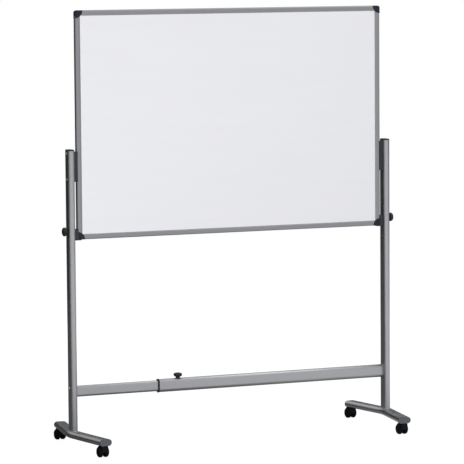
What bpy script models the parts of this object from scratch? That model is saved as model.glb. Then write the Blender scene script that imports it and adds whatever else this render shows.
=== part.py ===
"""Rolling whiteboard on a telescopic stand, built piece by piece in metres.

+X runs along the board to the viewer's right, -Y faces the viewer and +Z is up.
The origin lies on the floor, under the middle of the whole object.
"""
import math

import bmesh
import bpy
from mathutils import Vector

for old in list(bpy.data.objects):
    bpy.data.objects.remove(old, do_unlink=True)

# Driving dimensions in metres, one value for each size that can be set by itself.
GAP = 0.0003               # gap between faces that rest on each other
BORE_GAP = 0.0003          # radial clearance of a shaft or stud in its hole

BOARD_W = 1.500
BOARD_H = 1.020
BOARD_BOTTOM = 0.944       # lower edge of the board above the floor
FRAME_FACE = 0.024         # frame profile width, seen from the front
FRAME_WALL = 0.004         # outer wall of the profile, behind which the panel sits
FRAME_LIP_STEP = 0.0044    # the panel's groove starts this far behind the profile's front
FRAME_LIP_EDGE = 0.001     # thickness of the front lip at its inner edge
FRAME_ROUND = 0.006        # rounding of the profile's outer front edge
FRAME_FLAT = 0.009         # flat front band of the profile, behind the rounding
FRAME_REAR_LIP = 0.018     # width of the profile's rear lip
FRAME_REAR_T = 0.0034      # thickness of the profile's rear lip
FRAME_CHAMFER = 0.003      # chamfer of the profile's outer rear edge
SHEET_T = 0.001
CORE_T = 0.0123
CORNER_R = 0.035           # reach of the round corner cover
CORNER_ROUND = 0.011       # rounding of the board's outer corners
CORNER_PLATE = 0.0012      # thickness of the corner cover's front and rear plates

TUBE_W = 0.060             # flat oval tube of posts, feet and outer crossbar
TUBE_T = 0.030
TUBE_WALL = 0.0015
POST_GAP = 0.014           # free space between the board's side and a post
POST_TOP = 1.3412
POST_PLUG = 0.008          # depth of a post's end plug inside the tube
PLUG_CLEAR = 0.002         # a foot's end plug stops this far from the castor stem
POST_PLATE = 0.006         # thickness of a post's end plug above the tube
FOOT_PLATE = 0.004         # thickness of a foot's end plug outside the tube
POST_CROWN = 0.003         # height of the crowned edge on a post's plug
FOOT_CROWN = 0.001         # height of the crowned edge on a foot's plug
CROWN_INSET = 1.5          # inset of a crowned edge, as a multiple of its height

FOOT_SPAN = 0.584          # front end to rear end of a foot on its middle line, plugs included
FOOT_BEND_R = 0.200
FOOT_BEND = math.radians(9.4)
STEM_FROM_END = 0.018      # castor stem to the end of the foot

BAR_Z = 0.262              # centre height of the crossbar
SLEEVE_T = 0.0035          # room between the inner and the outer crossbar tube, all round
INNER_SHOWN = 0.393        # inner tube seen between the left post and the collar
INNER_HIDDEN = 0.600       # inner tube inside the outer one
BAR_END_WALL = 0.006       # welded end plate that takes the crossbar bolt
COLLAR_W = 0.0065
COLLAR_RIM = 0.0014        # the collar stands this far out of the outer tube
COLLAR_SLEEVE = 0.030

BRACKET_LIP = 0.0035       # bracket lip over the edge of the board
BRACKET_LIP_T = 0.0022
UPPER_BRACKET_H = 0.1337
UPPER_BRACKET_DROP = 0.0045   # from the top of the post down to the upper bracket
LOWER_BRACKET_H = 0.0505
SHOE_T = 0.0025            # plate of the lower bracket that carries the board
SHOE_REACH = 0.018

SCREW_R = 0.0025
SCREW_BITE = 0.009         # screw thread inside a bracket
SCREW_HEAD_R = 0.005
SCREW_HEAD_H = 0.003
SCREW_FROM_TOP = 0.0077    # upper screw below the bracket's top edge
SCREW_FROM_FOOT = 0.010    # lower screw above the bracket's bottom edge
BOLT_R = 0.004
BOLT_HEAD_R = 0.0065
BOLT_HEAD_H = 0.004
BOLT_RISE = 0.0145         # crossbar bolt above the middle of the crossbar
HEIGHT_HOLE_R = 0.0045     # spare height holes in the posts
HEIGHT_HOLE_TOP = 1.176
HEIGHT_HOLE_PITCH = 0.145
HEIGHT_HOLES = 3

STUD_R = 0.004             # threaded stud of the clamp knobs
STUD_BITE = 0.010          # stud inside the lower bracket
KNOB_R = 0.0205
KNOB_HEAD = 0.019          # thickness of a knob's grip
KNOB_NECK_R = 0.010
KNOB_NECK = 0.0045
KNOB_CROWN = 0.003
BRACKET_KNOB_DROP = 0.011  # knob axis below the top of the lower bracket
BAR_KNOB_FROM_COLLAR = 0.0945

WHEEL_R = 0.0248
WHEEL_TREAD = 0.015
WHEEL_W = 0.022            # wheel width at its domed hub
WHEEL_SIDES = 24
HUB_R = 0.005
AXLE_R = 0.003
AXLE_BITE = 0.014          # axle inside each wheel
TREAD_ROUND = 0.002        # rounding of a wheel's inner edge
CASTOR_TRAIL = 0.017       # axle behind the swivel axis
HOOD_WEB = 0.008           # web of the hood between the wheels
HOOD_W = 0.030
HOOD_GAP = 0.001           # hood to wheel tread
HOOD_T = 0.003
HOOD_DROP = 0.0006         # hood top to the underside of the foot
HOOD_TOP_T = 0.0026        # hood over the top of the wheels, round the stem
HOOD_NOSE_T = 0.005        # hood ahead of the wheels
HOOD_NOSE_ROUND = 0.005    # rounding of the hood's nose
HOOD_REAR = math.radians(47)   # where the hood ends behind the axle, above level
HOOD_SHOULDER = math.radians(76)   # where the thin rear of the hood begins
HOOD_BOSS = 0.0055         # hood material round the axle
WEB_FRONT = math.radians(168)      # the web joins the hood from here
WEB_REAR = math.radians(58)        # to here
STEM_R = 0.0055            # castor stem in the foot
PIN_R = 0.004              # castor stem in the hood
PIN_BITE = 0.009
PEDAL_W = 0.014
PEDAL_T = 0.003
PEDAL_KNUCKLE = 0.0017
PEDAL_SWEEP = math.radians(30)
PEDAL_FLARE = 0.0025       # the pedal's tip stands out this far

# Sizes that follow from the ones above.
FRAME_DEPTH = FRAME_LIP_STEP + SHEET_T + CORE_T + FRAME_REAR_T + 3 * GAP
HOLLOW_W = TUBE_W - 2 * TUBE_WALL           # inside of the flat oval tube
HOLLOW_T = TUBE_T - 2 * TUBE_WALL
INNER_W = HOLLOW_W - 2 * SLEEVE_T           # flat oval inner tube of the crossbar
INNER_T = HOLLOW_T - 2 * SLEEVE_T
WHEEL_FLAT = WHEEL_R * math.cos(math.pi / WHEEL_SIDES)   # axle height on a tread facet
HOOD_IN = WHEEL_R + HOOD_GAP                # inner radius of the hood
HOOD_NOSE = HOOD_IN + HOOD_NOSE_T           # front of the hood ahead of the axle
HOOD_TOP = HOOD_IN + HOOD_TOP_T             # top of the hood above the axle
CASTOR_H = WHEEL_FLAT + HOOD_TOP + HOOD_DROP   # floor to the underside of the foot
STEM_Y = FOOT_SPAN / 2 - STEM_FROM_END
PEDAL_TIP = HOOD_REAR - PEDAL_SWEEP         # where the brake pedal ends behind the axle
PEDAL_IN = HOOD_IN + PEDAL_FLARE + PEDAL_T / 4   # reach of the pedal's tip, inner side
REAR_END = STEM_Y + CASTOR_TRAIL + (PEDAL_IN + PEDAL_T) * math.cos(PEDAL_TIP)
FRONT_END = FOOT_SPAN / 2 + (TUBE_W / 2 - CROWN_INSET * FOOT_CROWN) * math.sin(FOOT_BEND)
MID_Y = (FRONT_END - REAR_END) / 2          # the posts' middle plane, object centred on Y = 0
POST_X = BOARD_W / 2 + POST_GAP + TUBE_T / 2
POST_IN = POST_X - TUBE_T / 2
FOOT_Z = CASTOR_H + TUBE_T / 2
BOLT_Z = BAR_Z + BOLT_RISE
FOOT_TOP = CASTOR_H + TUBE_T
FOOT_PLUG = STEM_FROM_END - FOOT_PLATE - STEM_R - PLUG_CLEAR   # depth of a foot's end plug
COLLAR_X = -POST_IN + INNER_SHOWN + COLLAR_W   # right face of the collar's rim
HALF_DEPTH = FRAME_DEPTH / 2
SLOT_FRONT = -HALF_DEPTH + FRAME_LIP_STEP      # groove of the frame profile, front side
SHEET_FRONT = SLOT_FRONT + GAP
CORE_FRONT = SHEET_FRONT + SHEET_T + GAP
CORE_BACK = CORE_FRONT + CORE_T
SLOT_BACK = CORE_BACK + GAP
CORNER_IN = HALF_DEPTH + GAP                   # inner side of the corner cover's plates
CORNER_OUT = CORNER_IN + CORNER_PLATE
LIP_IN = CORNER_OUT + GAP                      # groove of the brackets, half width
LIP_OUT = LIP_IN + BRACKET_LIP_T
UPPER_TOP = POST_TOP - UPPER_BRACKET_DROP
UPPER_FOOT = UPPER_TOP - UPPER_BRACKET_H
SHOE_TOP = BOARD_BOTTOM - GAP
LOWER_TOP = SHOE_TOP - SHOE_T + LOWER_BRACKET_H
BRACKET_KNOB_Z = LOWER_TOP - BRACKET_KNOB_DROP
SCREW_HEIGHTS = (UPPER_TOP - SCREW_FROM_TOP, UPPER_FOOT + SCREW_FROM_FOOT)
HEIGHT_HOLE_ZS = [HEIGHT_HOLE_TOP - i * HEIGHT_HOLE_PITCH for i in range(HEIGHT_HOLES)]

ARC = 8                    # facets in half a turn of a tube's round side
ROUND = 16                 # facets of screws, studs and knobs


def finish(name, colour, roughness, metallic):
    """One Principled material with a plain colour."""
    material = bpy.data.materials.new(name)
    material.use_nodes = True
    shader = material.node_tree.nodes["Principled BSDF"]
    shader.inputs["Base Color"].default_value = (*colour, 1.0)
    shader.inputs["Roughness"].default_value = roughness
    shader.inputs["Metallic"].default_value = metallic
    return material


SILVER_PAINT = ("silver_paint", (0.29, 0.295, 0.31), 0.45, 0.2)
ENAMEL = ("white_enamel", (0.84, 0.84, 0.87), 0.12, 0.0)
FIBRE_CORE = ("fibre_core", (0.45, 0.45, 0.46), 0.7, 0.0)
ANODISED = ("anodised_aluminium", (0.38, 0.385, 0.40), 0.4, 0.5)
NAVY_PLASTIC = ("corner_plastic", (0.022, 0.026, 0.036), 0.42, 0.0)
GREY_PLASTIC = ("plug_plastic", (0.12, 0.13, 0.15), 0.5, 0.0)
BRACKET_PLASTIC = ("bracket_plastic", (0.062, 0.064, 0.069), 0.5, 0.0)
BLACK_PLASTIC = ("black_plastic", (0.012, 0.012, 0.014), 0.42, 0.0)
HOOD_PLASTIC = ("hood_plastic", (0.016, 0.018, 0.024), 0.4, 0.0)
TREAD = ("wheel_tread", (0.010, 0.010, 0.011), 0.55, 0.0)
STEEL = ("zinc_steel", (0.48, 0.48, 0.49), 0.32, 1.0)


def add_object(name, bm, look, at, parent):
    """Close a bmesh into a named object with outward faces and its own material."""
    bmesh.ops.recalc_face_normals(bm, faces=bm.faces)
    mesh = bpy.data.meshes.new(name)
    bm.to_mesh(mesh)
    bm.free()
    mesh.shade_smooth()
    mesh.set_sharp_from_angle(angle=math.radians(35))
    obj = bpy.data.objects.new(name, mesh)
    bpy.context.scene.collection.objects.link(obj)
    obj.location = at
    obj.parent = parent
    if look:
        kind, colour, roughness, metallic = look
        mesh.materials.append(finish(name + "_" + kind, colour, roughness, metallic))
    return obj


def skin(name, rings, look, loop=False, at=(0, 0, 0), parent=None):
    """Walls between rings of points: a closed loop of rings, or a stack with two end faces."""
    bm = bmesh.new()
    add_skin(bm, rings, loop)
    return add_object(name, bm, look, at, parent)


def add_skin(bm, rings, loop=False):
    rows = [[bm.verts.new(p) for p in ring] for ring in rings]
    count = len(rows[0])
    pairs = list(zip(rows, rows[1:]))
    if loop:
        pairs.append((rows[-1], rows[0]))
    else:
        bm.faces.new(rows[0])
        bm.faces.new(rows[-1])
    for low, high in pairs:
        for i in range(count):
            j = (i + 1) % count
            bm.faces.new((low[i], low[j], high[j], high[i]))


def oval(width, thickness):
    """Flat oval outline: width along the first axis, half round at both ends."""
    radius = thickness / 2
    middle = width / 2 - radius
    points = []
    for side in (1, -1):
        for i in range(ARC + 1):
            turn = -math.pi / 2 + math.pi * i / ARC
            points.append((side * (middle + radius * math.cos(turn)), side * radius * math.sin(turn)))
    return points


def oval_ring(width, thickness, centre, along, across):
    """The flat oval as a ring of points in space."""
    return [centre + along * a + across * b for a, b in oval(width, thickness)]


def turned_rings(profile, axis, sides=ROUND, turn=0.0):
    """Rings of a turned shape: profile holds (radius, distance along the axis)."""
    frame = Vector(axis).to_track_quat("Z", "Y").to_matrix()
    rings = []
    for radius, height in profile:
        ring = []
        for i in range(sides):
            angle = turn + 2 * math.pi * i / sides
            ring.append(frame @ Vector((radius * math.cos(angle), radius * math.sin(angle), height)))
        rings.append(ring)
    return rings


def outline_rings(outline, ends, place):
    """Two rings of a flat outline: place turns (a, b, depth) into a point."""
    return [[place(a, b, depth) for a, b in outline] for depth in ends]


def boolean(obj, cutter, operation):
    cutter.hide_render = True
    cutter.display_type = "WIRE"
    step = obj.modifiers.new(cutter.name, "BOOLEAN")
    step.operation = operation
    step.solver = "EXACT"
    step.object = cutter


def drill(obj, name, holes, parent=None):
    """Cut round holes: each is (start point, direction, radius, depth)."""
    bm = bmesh.new()
    for start, direction, radius, depth in holes:
        rings = turned_rings([(radius, 0.0), (radius, depth)], direction)
        add_skin(bm, [[p + Vector(start) for p in ring] for ring in rings])
    cutter = add_object(name, bm, None, (0, 0, 0), parent)
    boolean(obj, cutter, "DIFFERENCE")


def empty(name, at, parent=None):
    holder = bpy.data.objects.new(name, None)
    bpy.context.scene.collection.objects.link(holder)
    holder.location = at
    holder.parent = parent
    return holder


X, Y, Z = Vector((1, 0, 0)), Vector((0, 1, 0)), Vector((0, 0, 1))

# Board: writing sheet and core panel held in the groove of four frame profiles.
board = empty("board_origin", (0, MID_Y, BOARD_BOTTOM))
panel_half = BOARD_W / 2 - FRAME_WALL - GAP
panel_low = FRAME_WALL + GAP
panel_high = BOARD_H - FRAME_WALL - GAP
panel_outline = [(-panel_half, panel_low), (panel_half, panel_low), (panel_half, panel_high),
                 (-panel_half, panel_high)]


def facing(a, b, depth):
    """A point of the board: a to the right, b up, depth to the back."""
    return Vector((a, depth, b))


skin("writing_sheet", outline_rings(panel_outline, (SHEET_FRONT, SHEET_FRONT + SHEET_T), facing),
     ENAMEL, parent=board)
skin("core_panel", outline_rings(panel_outline, (CORE_FRONT, CORE_BACK), facing),
     FIBRE_CORE, parent=board)


def frame_section():
    """Frame profile: (distance in from the outer edge, depth), with a groove for the panel."""
    front = -HALF_DEPTH
    back = HALF_DEPTH
    flat_end = FRAME_ROUND + FRAME_FLAT
    slope = (SLOT_FRONT - FRAME_LIP_EDGE - front) / 3
    points = []
    for i in range(5):
        turn = math.pi / 2 * (1 - i / 4)
        points.append((FRAME_ROUND * (1 - math.sin(turn)), front + FRAME_ROUND * (1 - math.cos(turn))))
    points += [(flat_end, front), ((flat_end + FRAME_FACE) / 2, front + slope)]
    points += [(FRAME_FACE, SLOT_FRONT - FRAME_LIP_EDGE), (FRAME_FACE, SLOT_FRONT)]
    points += [(FRAME_WALL, SLOT_FRONT), (FRAME_WALL, SLOT_BACK), (FRAME_REAR_LIP, SLOT_BACK)]
    points += [(FRAME_REAR_LIP, back), (FRAME_CHAMFER, back), (0.0, back - FRAME_CHAMFER)]
    return points


side_end = FRAME_FACE + GAP
SIDES = (
    ("frame_top", BOARD_W / 2 - side_end, lambda u, v, t: Vector((t, v, BOARD_H - u))),
    ("frame_bottom", BOARD_W / 2 - side_end, lambda u, v, t: Vector((t, v, u))),
    ("frame_left", BOARD_H / 2 - side_end, lambda u, v, t: Vector((u - BOARD_W / 2, v, BOARD_H / 2 + t))),
    ("frame_right", BOARD_H / 2 - side_end, lambda u, v, t: Vector((BOARD_W / 2 - u, v, BOARD_H / 2 + t))),
)
for name, half, place in SIDES:
    skin(name, outline_rings(frame_section(), (-half, half), place), ANODISED, parent=board)


def corner_outline():
    """Front view of a corner cover: a quarter disc with the board's rounded corner."""
    points = []
    for i in range(ARC + 1):
        turn = math.pi / 2 * i / ARC
        points.append((CORNER_R * math.cos(turn), CORNER_R * math.sin(turn)))
    for i in range(5):
        turn = math.pi + math.pi / 2 * i / 4
        points.append((CORNER_ROUND * (1 + math.cos(turn)), CORNER_ROUND * (1 + math.sin(turn))))
    return points


far = 2 * CORNER_R
profile_cut = [(FRAME_FACE, -far), (far, -far), (far, far), (-far, far), (-far, FRAME_FACE),
               (FRAME_FACE, FRAME_FACE)]
panel_cut = [(FRAME_WALL, FRAME_WALL), (far, FRAME_WALL), (far, far), (FRAME_WALL, far)]
for side, side_name in ((-1, "left"), (1, "right")):
    for level, level_name in ((0, "bottom"), (1, "top")):
        name = level_name + "_" + side_name + "_corner"

        def corner(u, w, v, side=side, level=level):
            height = BOARD_H - w if level else w
            return Vector((side * (BOARD_W / 2 - u), v, height))

        cover = skin(name, outline_rings(corner_outline(), (-CORNER_OUT, CORNER_OUT), corner),
                     NAVY_PLASTIC, parent=board)
        for cut_name, outline, ends in (("_profiles", profile_cut, (-CORNER_IN, CORNER_IN)),
                                        ("_panel", panel_cut, (SLOT_FRONT, SLOT_BACK))):
            cutter = skin(name + cut_name, outline_rings(outline, ends, corner), None, parent=board)
            boolean(cover, cutter, "DIFFERENCE")


def bow(y):
    """How far the middle line of a foot lies inside the post at a distance y from it."""
    arc_end = FOOT_BEND_R * math.sin(FOOT_BEND)
    if abs(y) < arc_end:
        return FOOT_BEND_R - math.sqrt(FOOT_BEND_R ** 2 - y ** 2)
    return FOOT_BEND_R * (1 - math.cos(FOOT_BEND)) + (abs(y) - arc_end) * math.tan(FOOT_BEND)


def tube_end(side, front):
    """Centre of a foot tube's end, its outward direction and its width direction."""
    out = Vector((-side * math.sin(FOOT_BEND), front * math.cos(FOOT_BEND), 0))
    wide = Vector((math.cos(FOOT_BEND), side * front * math.sin(FOOT_BEND), 0))
    y = FOOT_SPAN / 2 - FOOT_PLATE * math.cos(FOOT_BEND) - GAP
    return Vector((side * (POST_X - bow(y)), front * y, FOOT_Z)), out, wide


def end_plug(name, centre, out, wide, across, depth, plate, crown, look, parent):
    """Moulded plug: a shank inside the tube and a rim that covers its end."""
    shank_w = HOLLOW_W - 2 * BORE_GAP
    shank_t = HOLLOW_T - 2 * BORE_GAP
    rim = centre + out * GAP
    inset = 2 * CROWN_INSET * crown
    steps = ((shank_w, shank_t, centre - out * depth), (shank_w, shank_t, rim),
             (TUBE_W, TUBE_T, rim), (TUBE_W, TUBE_T, rim + out * (plate - crown)),
             (TUBE_W - inset, TUBE_T - inset, rim + out * plate))
    rings = [oval_ring(w, t, place, wide, across) for w, t, place in steps]
    skin(name, rings, look, parent=parent)


# Stand: two posts on bent feet, joined by a crossbar that pulls out to the left.
for side, side_name in ((-1, "left"), (1, "right")):
    half = empty(side_name + "_half", (0, MID_Y, 0))
    away = X * side

    # Post with its drilled holes.
    rings = [oval_ring(w, t, Vector((side * POST_X, 0, z)), Y, X) for w, t, z in (
        (TUBE_W, TUBE_T, FOOT_TOP + GAP), (TUBE_W, TUBE_T, POST_TOP),
        (HOLLOW_W, HOLLOW_T, POST_TOP), (HOLLOW_W, HOLLOW_T, FOOT_TOP + GAP))]
    post = skin(side_name + "_post", rings, SILVER_PAINT, loop=True, parent=half)
    bores = [(z, HEIGHT_HOLE_R) for z in HEIGHT_HOLE_ZS]
    bores += [(z, SCREW_R + BORE_GAP) for z in SCREW_HEIGHTS]
    bores += [(BRACKET_KNOB_Z, STUD_R + BORE_GAP), (BOLT_Z, BOLT_R + BORE_GAP)]
    bore_start = side * (POST_IN - TUBE_WALL)
    drill(post, side_name + "_post_holes",
          [((bore_start, 0, z), away, r, TUBE_T + 2 * TUBE_WALL) for z, r in bores], half)
    end_plug(side_name + "_post_cap", Vector((side * POST_X, 0, POST_TOP)), Z, Y, X,
             POST_PLUG, POST_PLATE, POST_CROWN, BLACK_PLASTIC, half)

    # Foot, bent at the middle, with castor sockets and end plugs.
    foot_rings = []
    for width, thickness in ((TUBE_W, TUBE_T), (HOLLOW_W, HOLLOW_T)):
        run = []
        rear, out, wide = tube_end(side, 1)
        run.append(oval_ring(width, thickness, rear, wide, Z))
        for i in range(ARC + 1):
            turn = FOOT_BEND * (1 - 2 * i / ARC)
            centre = Vector((side * (POST_X - FOOT_BEND_R * (1 - math.cos(turn))),
                             FOOT_BEND_R * math.sin(turn), FOOT_Z))
            across = Vector((math.cos(turn), side * math.sin(turn), 0))
            run.append(oval_ring(width, thickness, centre, across, Z))
        front, out, wide = tube_end(side, -1)
        run.append(oval_ring(width, thickness, front, wide, Z))
        foot_rings += run if width == TUBE_W else run[::-1]
    foot = skin(side_name + "_foot", foot_rings, SILVER_PAINT, loop=True, parent=half)
    stem_x = side * (POST_X - bow(STEM_Y))
    drill(foot, side_name + "_foot_sockets",
          [((stem_x, front * STEM_Y, CASTOR_H - TUBE_WALL), Z, STEM_R + BORE_GAP, TUBE_T / 2)
           for front in (-1, 1)], half)
    for front, front_name in ((-1, "front"), (1, "rear")):
        centre, out, wide = tube_end(side, front)
        end_plug(side_name + "_" + front_name + "_foot_cap", centre, out, wide, Z,
                 FOOT_PLUG, FOOT_PLATE, FOOT_CROWN, GREY_PLASTIC, half)

    # Upper bracket: a grooved block that keeps the board's edge upright, and its two screws.
    groove = BOARD_W / 2 + GAP
    lip = BOARD_W / 2 - BRACKET_LIP
    block_out = POST_IN - GAP
    outline = [(block_out, -LIP_OUT), (block_out, LIP_OUT), (lip, LIP_OUT), (lip, LIP_IN),
               (groove, LIP_IN), (groove, -LIP_IN), (lip, -LIP_IN), (lip, -LIP_OUT)]

    def standing(a, b, z, side=side):
        return Vector((side * a, b, z))

    upper = skin(side_name + "_upper_bracket", outline_rings(outline, (UPPER_FOOT, UPPER_TOP), standing),
                 BRACKET_PLASTIC, parent=half)
    drill(upper, side_name + "_upper_bracket_holes",
          [((side * (POST_IN - SCREW_BITE - GAP), 0, z), away, SCREW_R + BORE_GAP, 2 * SCREW_BITE)
           for z in SCREW_HEIGHTS], half)
    seat = TUBE_T + GAP
    for z, place in zip(SCREW_HEIGHTS, ("top", "low")):
        profile = [(SCREW_R, -SCREW_BITE), (SCREW_R, seat), (SCREW_HEAD_R, seat),
                   (SCREW_HEAD_R, seat + SCREW_HEAD_H / 2), (SCREW_HEAD_R / 2, seat + SCREW_HEAD_H)]
        skin(side_name + "_bracket_screw_" + place, turned_rings(profile, away), STEEL,
             at=(side * POST_IN, 0, z), parent=half)

    # Lower bracket: a shoe with the same groove, which carries the board's weight.
    shoe_in = BOARD_W / 2 - SHOE_REACH
    block = [(shoe_in, -LIP_OUT), (block_out, -LIP_OUT), (block_out, LIP_OUT), (shoe_in, LIP_OUT)]
    lower = skin(side_name + "_lower_bracket", outline_rings(block, (SHOE_TOP - SHOE_T, LOWER_TOP), standing),
                 BRACKET_PLASTIC, parent=half)
    clear = 2 * LIP_OUT
    inward = shoe_in - clear
    room = [(inward, -clear), (lip, -clear), (lip, -LIP_IN), (groove, -LIP_IN), (groove, LIP_IN),
            (lip, LIP_IN), (lip, clear), (inward, clear)]
    cutter = skin(side_name + "_board_room", outline_rings(room, (SHOE_TOP, LOWER_TOP + clear), standing),
                  None, parent=half)
    boolean(lower, cutter, "DIFFERENCE")
    drill(lower, side_name + "_lower_bracket_hole",
          [((side * (POST_IN - STUD_BITE - GAP), 0, BRACKET_KNOB_Z), away, STUD_R + BORE_GAP,
            2 * STUD_BITE)], half)

    # Crossbar bolt through the post into the welded end plate of the crossbar.
    profile = [(BOLT_R, -BAR_END_WALL), (BOLT_R, seat), (BOLT_HEAD_R, seat),
               (BOLT_HEAD_R, seat + BOLT_HEAD_H / 2), (BOLT_HEAD_R / 2, seat + BOLT_HEAD_H)]
    skin(side_name + "_crossbar_bolt", turned_rings(profile, away), STEEL,
         at=(side * POST_IN, 0, BOLT_Z), parent=half)


def knob_profile(stud_tip, seat):
    """Turned clamp knob: stud, neck and domed grip, along its axis."""
    grip = seat + KNOB_NECK
    end = grip + KNOB_HEAD
    return [(STUD_R, stud_tip), (STUD_R, seat), (KNOB_NECK_R, seat), (KNOB_NECK_R, grip),
            (KNOB_R - KNOB_CROWN, grip), (KNOB_R, grip + KNOB_CROWN), (KNOB_R, end - 2 * KNOB_CROWN),
            (KNOB_R - KNOB_CROWN, end - KNOB_CROWN / 2), (KNOB_R / 2, end)]


for side, side_name in ((-1, "left"), (1, "right")):
    skin(side_name + "_bracket_knob", turned_rings(knob_profile(-STUD_BITE, TUBE_T + GAP), X * side),
         BLACK_PLASTIC, at=(side * POST_IN, MID_Y, BRACKET_KNOB_Z))


def bar_tube(name, width, thickness, mouth, plate, look):
    """Crossbar tube with an open mouth and a welded plate at its post end."""
    inward = math.copysign(BAR_END_WALL, mouth - plate)
    hollow = (width - 2 * TUBE_WALL, thickness - 2 * TUBE_WALL)
    solid = (width, thickness)
    steps = ((hollow, plate + inward), (hollow, mouth), (solid, mouth), (solid, plate))
    rings = [oval_ring(w, t, Vector((x, 0, 0)), Z, Y) for (w, t), x in steps]
    return skin(name, rings, look, at=(0, MID_Y, BAR_Z))


# Crossbar: outer tube on the right post, inner tube on the left post, guide collar and clamp knob.
outer_bar = bar_tube("crossbar_outer_tube", TUBE_W, TUBE_T, COLLAR_X + GAP, POST_IN - GAP, SILVER_PAINT)
inner_bar = bar_tube("crossbar_inner_tube", INNER_W, INNER_T, COLLAR_X + INNER_HIDDEN, -POST_IN + GAP,
                     SILVER_PAINT)
for side, bar, name in ((1, outer_bar, "outer_bar_bolt_hole"), (-1, inner_bar, "inner_bar_bolt_hole")):
    drill(bar, name, [((side * (POST_IN - 2 * BAR_END_WALL), MID_Y, BOLT_Z), X * side, BOLT_R + BORE_GAP,
                       3 * BAR_END_WALL)])
bar_knob_x = COLLAR_X + BAR_KNOB_FROM_COLLAR
drill(outer_bar, "outer_bar_knob_hole",
      [((bar_knob_x, MID_Y, BAR_Z + TUBE_W / 2 - 2 * TUBE_WALL), Z, STUD_R + BORE_GAP, 4 * TUBE_WALL)])
bore = (INNER_W + 2 * BORE_GAP, INNER_T + 2 * BORE_GAP)
sleeve = (HOLLOW_W - 2 * BORE_GAP, HOLLOW_T - 2 * BORE_GAP)
rim = (TUBE_W + 2 * COLLAR_RIM, TUBE_T + 2 * COLLAR_RIM)
collar_steps = ((bore, -COLLAR_W), (bore, COLLAR_SLEEVE), (sleeve, COLLAR_SLEEVE), (sleeve, 0.0),
                (rim, 0.0), (rim, -COLLAR_W))
skin("crossbar_collar", [oval_ring(w, t, Vector((x, 0, 0)), Z, Y) for (w, t), x in collar_steps],
     BLACK_PLASTIC, loop=True, at=(COLLAR_X, MID_Y, BAR_Z))
stud_tip = INNER_W / 2 + GAP - TUBE_W / 2
skin("crossbar_knob", turned_rings(knob_profile(stud_tip, GAP), Z), BLACK_PLASTIC,
     at=(bar_knob_x, MID_Y, BAR_Z + TUBE_W / 2))


def hood_canopy():
    """Side view of the hood over the wheels: (behind the axle, above the axle)."""
    points = []
    for i in range(ARC + 1):
        turn = math.pi - (math.pi - HOOD_REAR) * i / ARC
        points.append((HOOD_IN * math.cos(turn), HOOD_IN * math.sin(turn)))
    outside = HOOD_IN + HOOD_T
    for i in range(3):
        turn = HOOD_REAR + (HOOD_SHOULDER - HOOD_REAR) * i / 2
        points.append((outside * math.cos(turn), outside * math.sin(turn)))
    points.append((HOOD_NOSE_ROUND - CASTOR_TRAIL + PIN_R, HOOD_TOP))
    for i in range(5):
        turn = math.pi / 2 * (1 + i / 4)
        points.append((HOOD_NOSE_ROUND * (1 + math.cos(turn)) - HOOD_NOSE,
                       HOOD_TOP - HOOD_NOSE_ROUND * (1 - math.sin(turn))))
    points.append((-HOOD_NOSE, 0.0))
    return points


def hood_web():
    """Side view of the web between the wheels, from the axle boss up into the canopy."""
    reach = HOOD_IN + HOOD_T / 2
    boss = AXLE_R + HOOD_BOSS
    points = []
    for i in range(ARC - 1):
        turn = WEB_FRONT + (WEB_REAR - WEB_FRONT) * i / (ARC - 2)
        points.append((reach * math.cos(turn), reach * math.sin(turn)))
    for i in range(ARC + 1):
        turn = -math.pi * i / ARC
        points.append((boss * math.cos(turn), boss * math.sin(turn)))
    return points


def pedal_side(pivot):
    """Side view of the brake pedal, with a round knuckle at its pivot."""
    points = []
    for i in range(ARC + 1):
        turn = HOOD_REAR + math.pi * i / ARC
        points.append((pivot.x + PEDAL_KNUCKLE * math.cos(turn), pivot.y + PEDAL_KNUCKLE * math.sin(turn)))
    for radius in (PEDAL_IN, PEDAL_IN + PEDAL_T):
        points.append((radius * math.cos(PEDAL_TIP), radius * math.sin(PEDAL_TIP)))
    return points


def wheel_profile():
    """Turned wheel with a blind axle bore: (radius, distance out from the hood)."""
    bore_r = AXLE_R + BORE_GAP
    points = [(bore_r, AXLE_BITE + GAP), (bore_r, 0.0), (WHEEL_R - TREAD_ROUND, 0.0), (WHEEL_R, TREAD_ROUND)]
    steps = 5
    for i in range(steps + 1):
        turn = math.pi / 2 * i / steps
        points.append((HUB_R + (WHEEL_R - HUB_R) * math.cos(turn),
                       WHEEL_TREAD + (WHEEL_W - WHEEL_TREAD) * math.sin(turn)))
    return points


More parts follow.
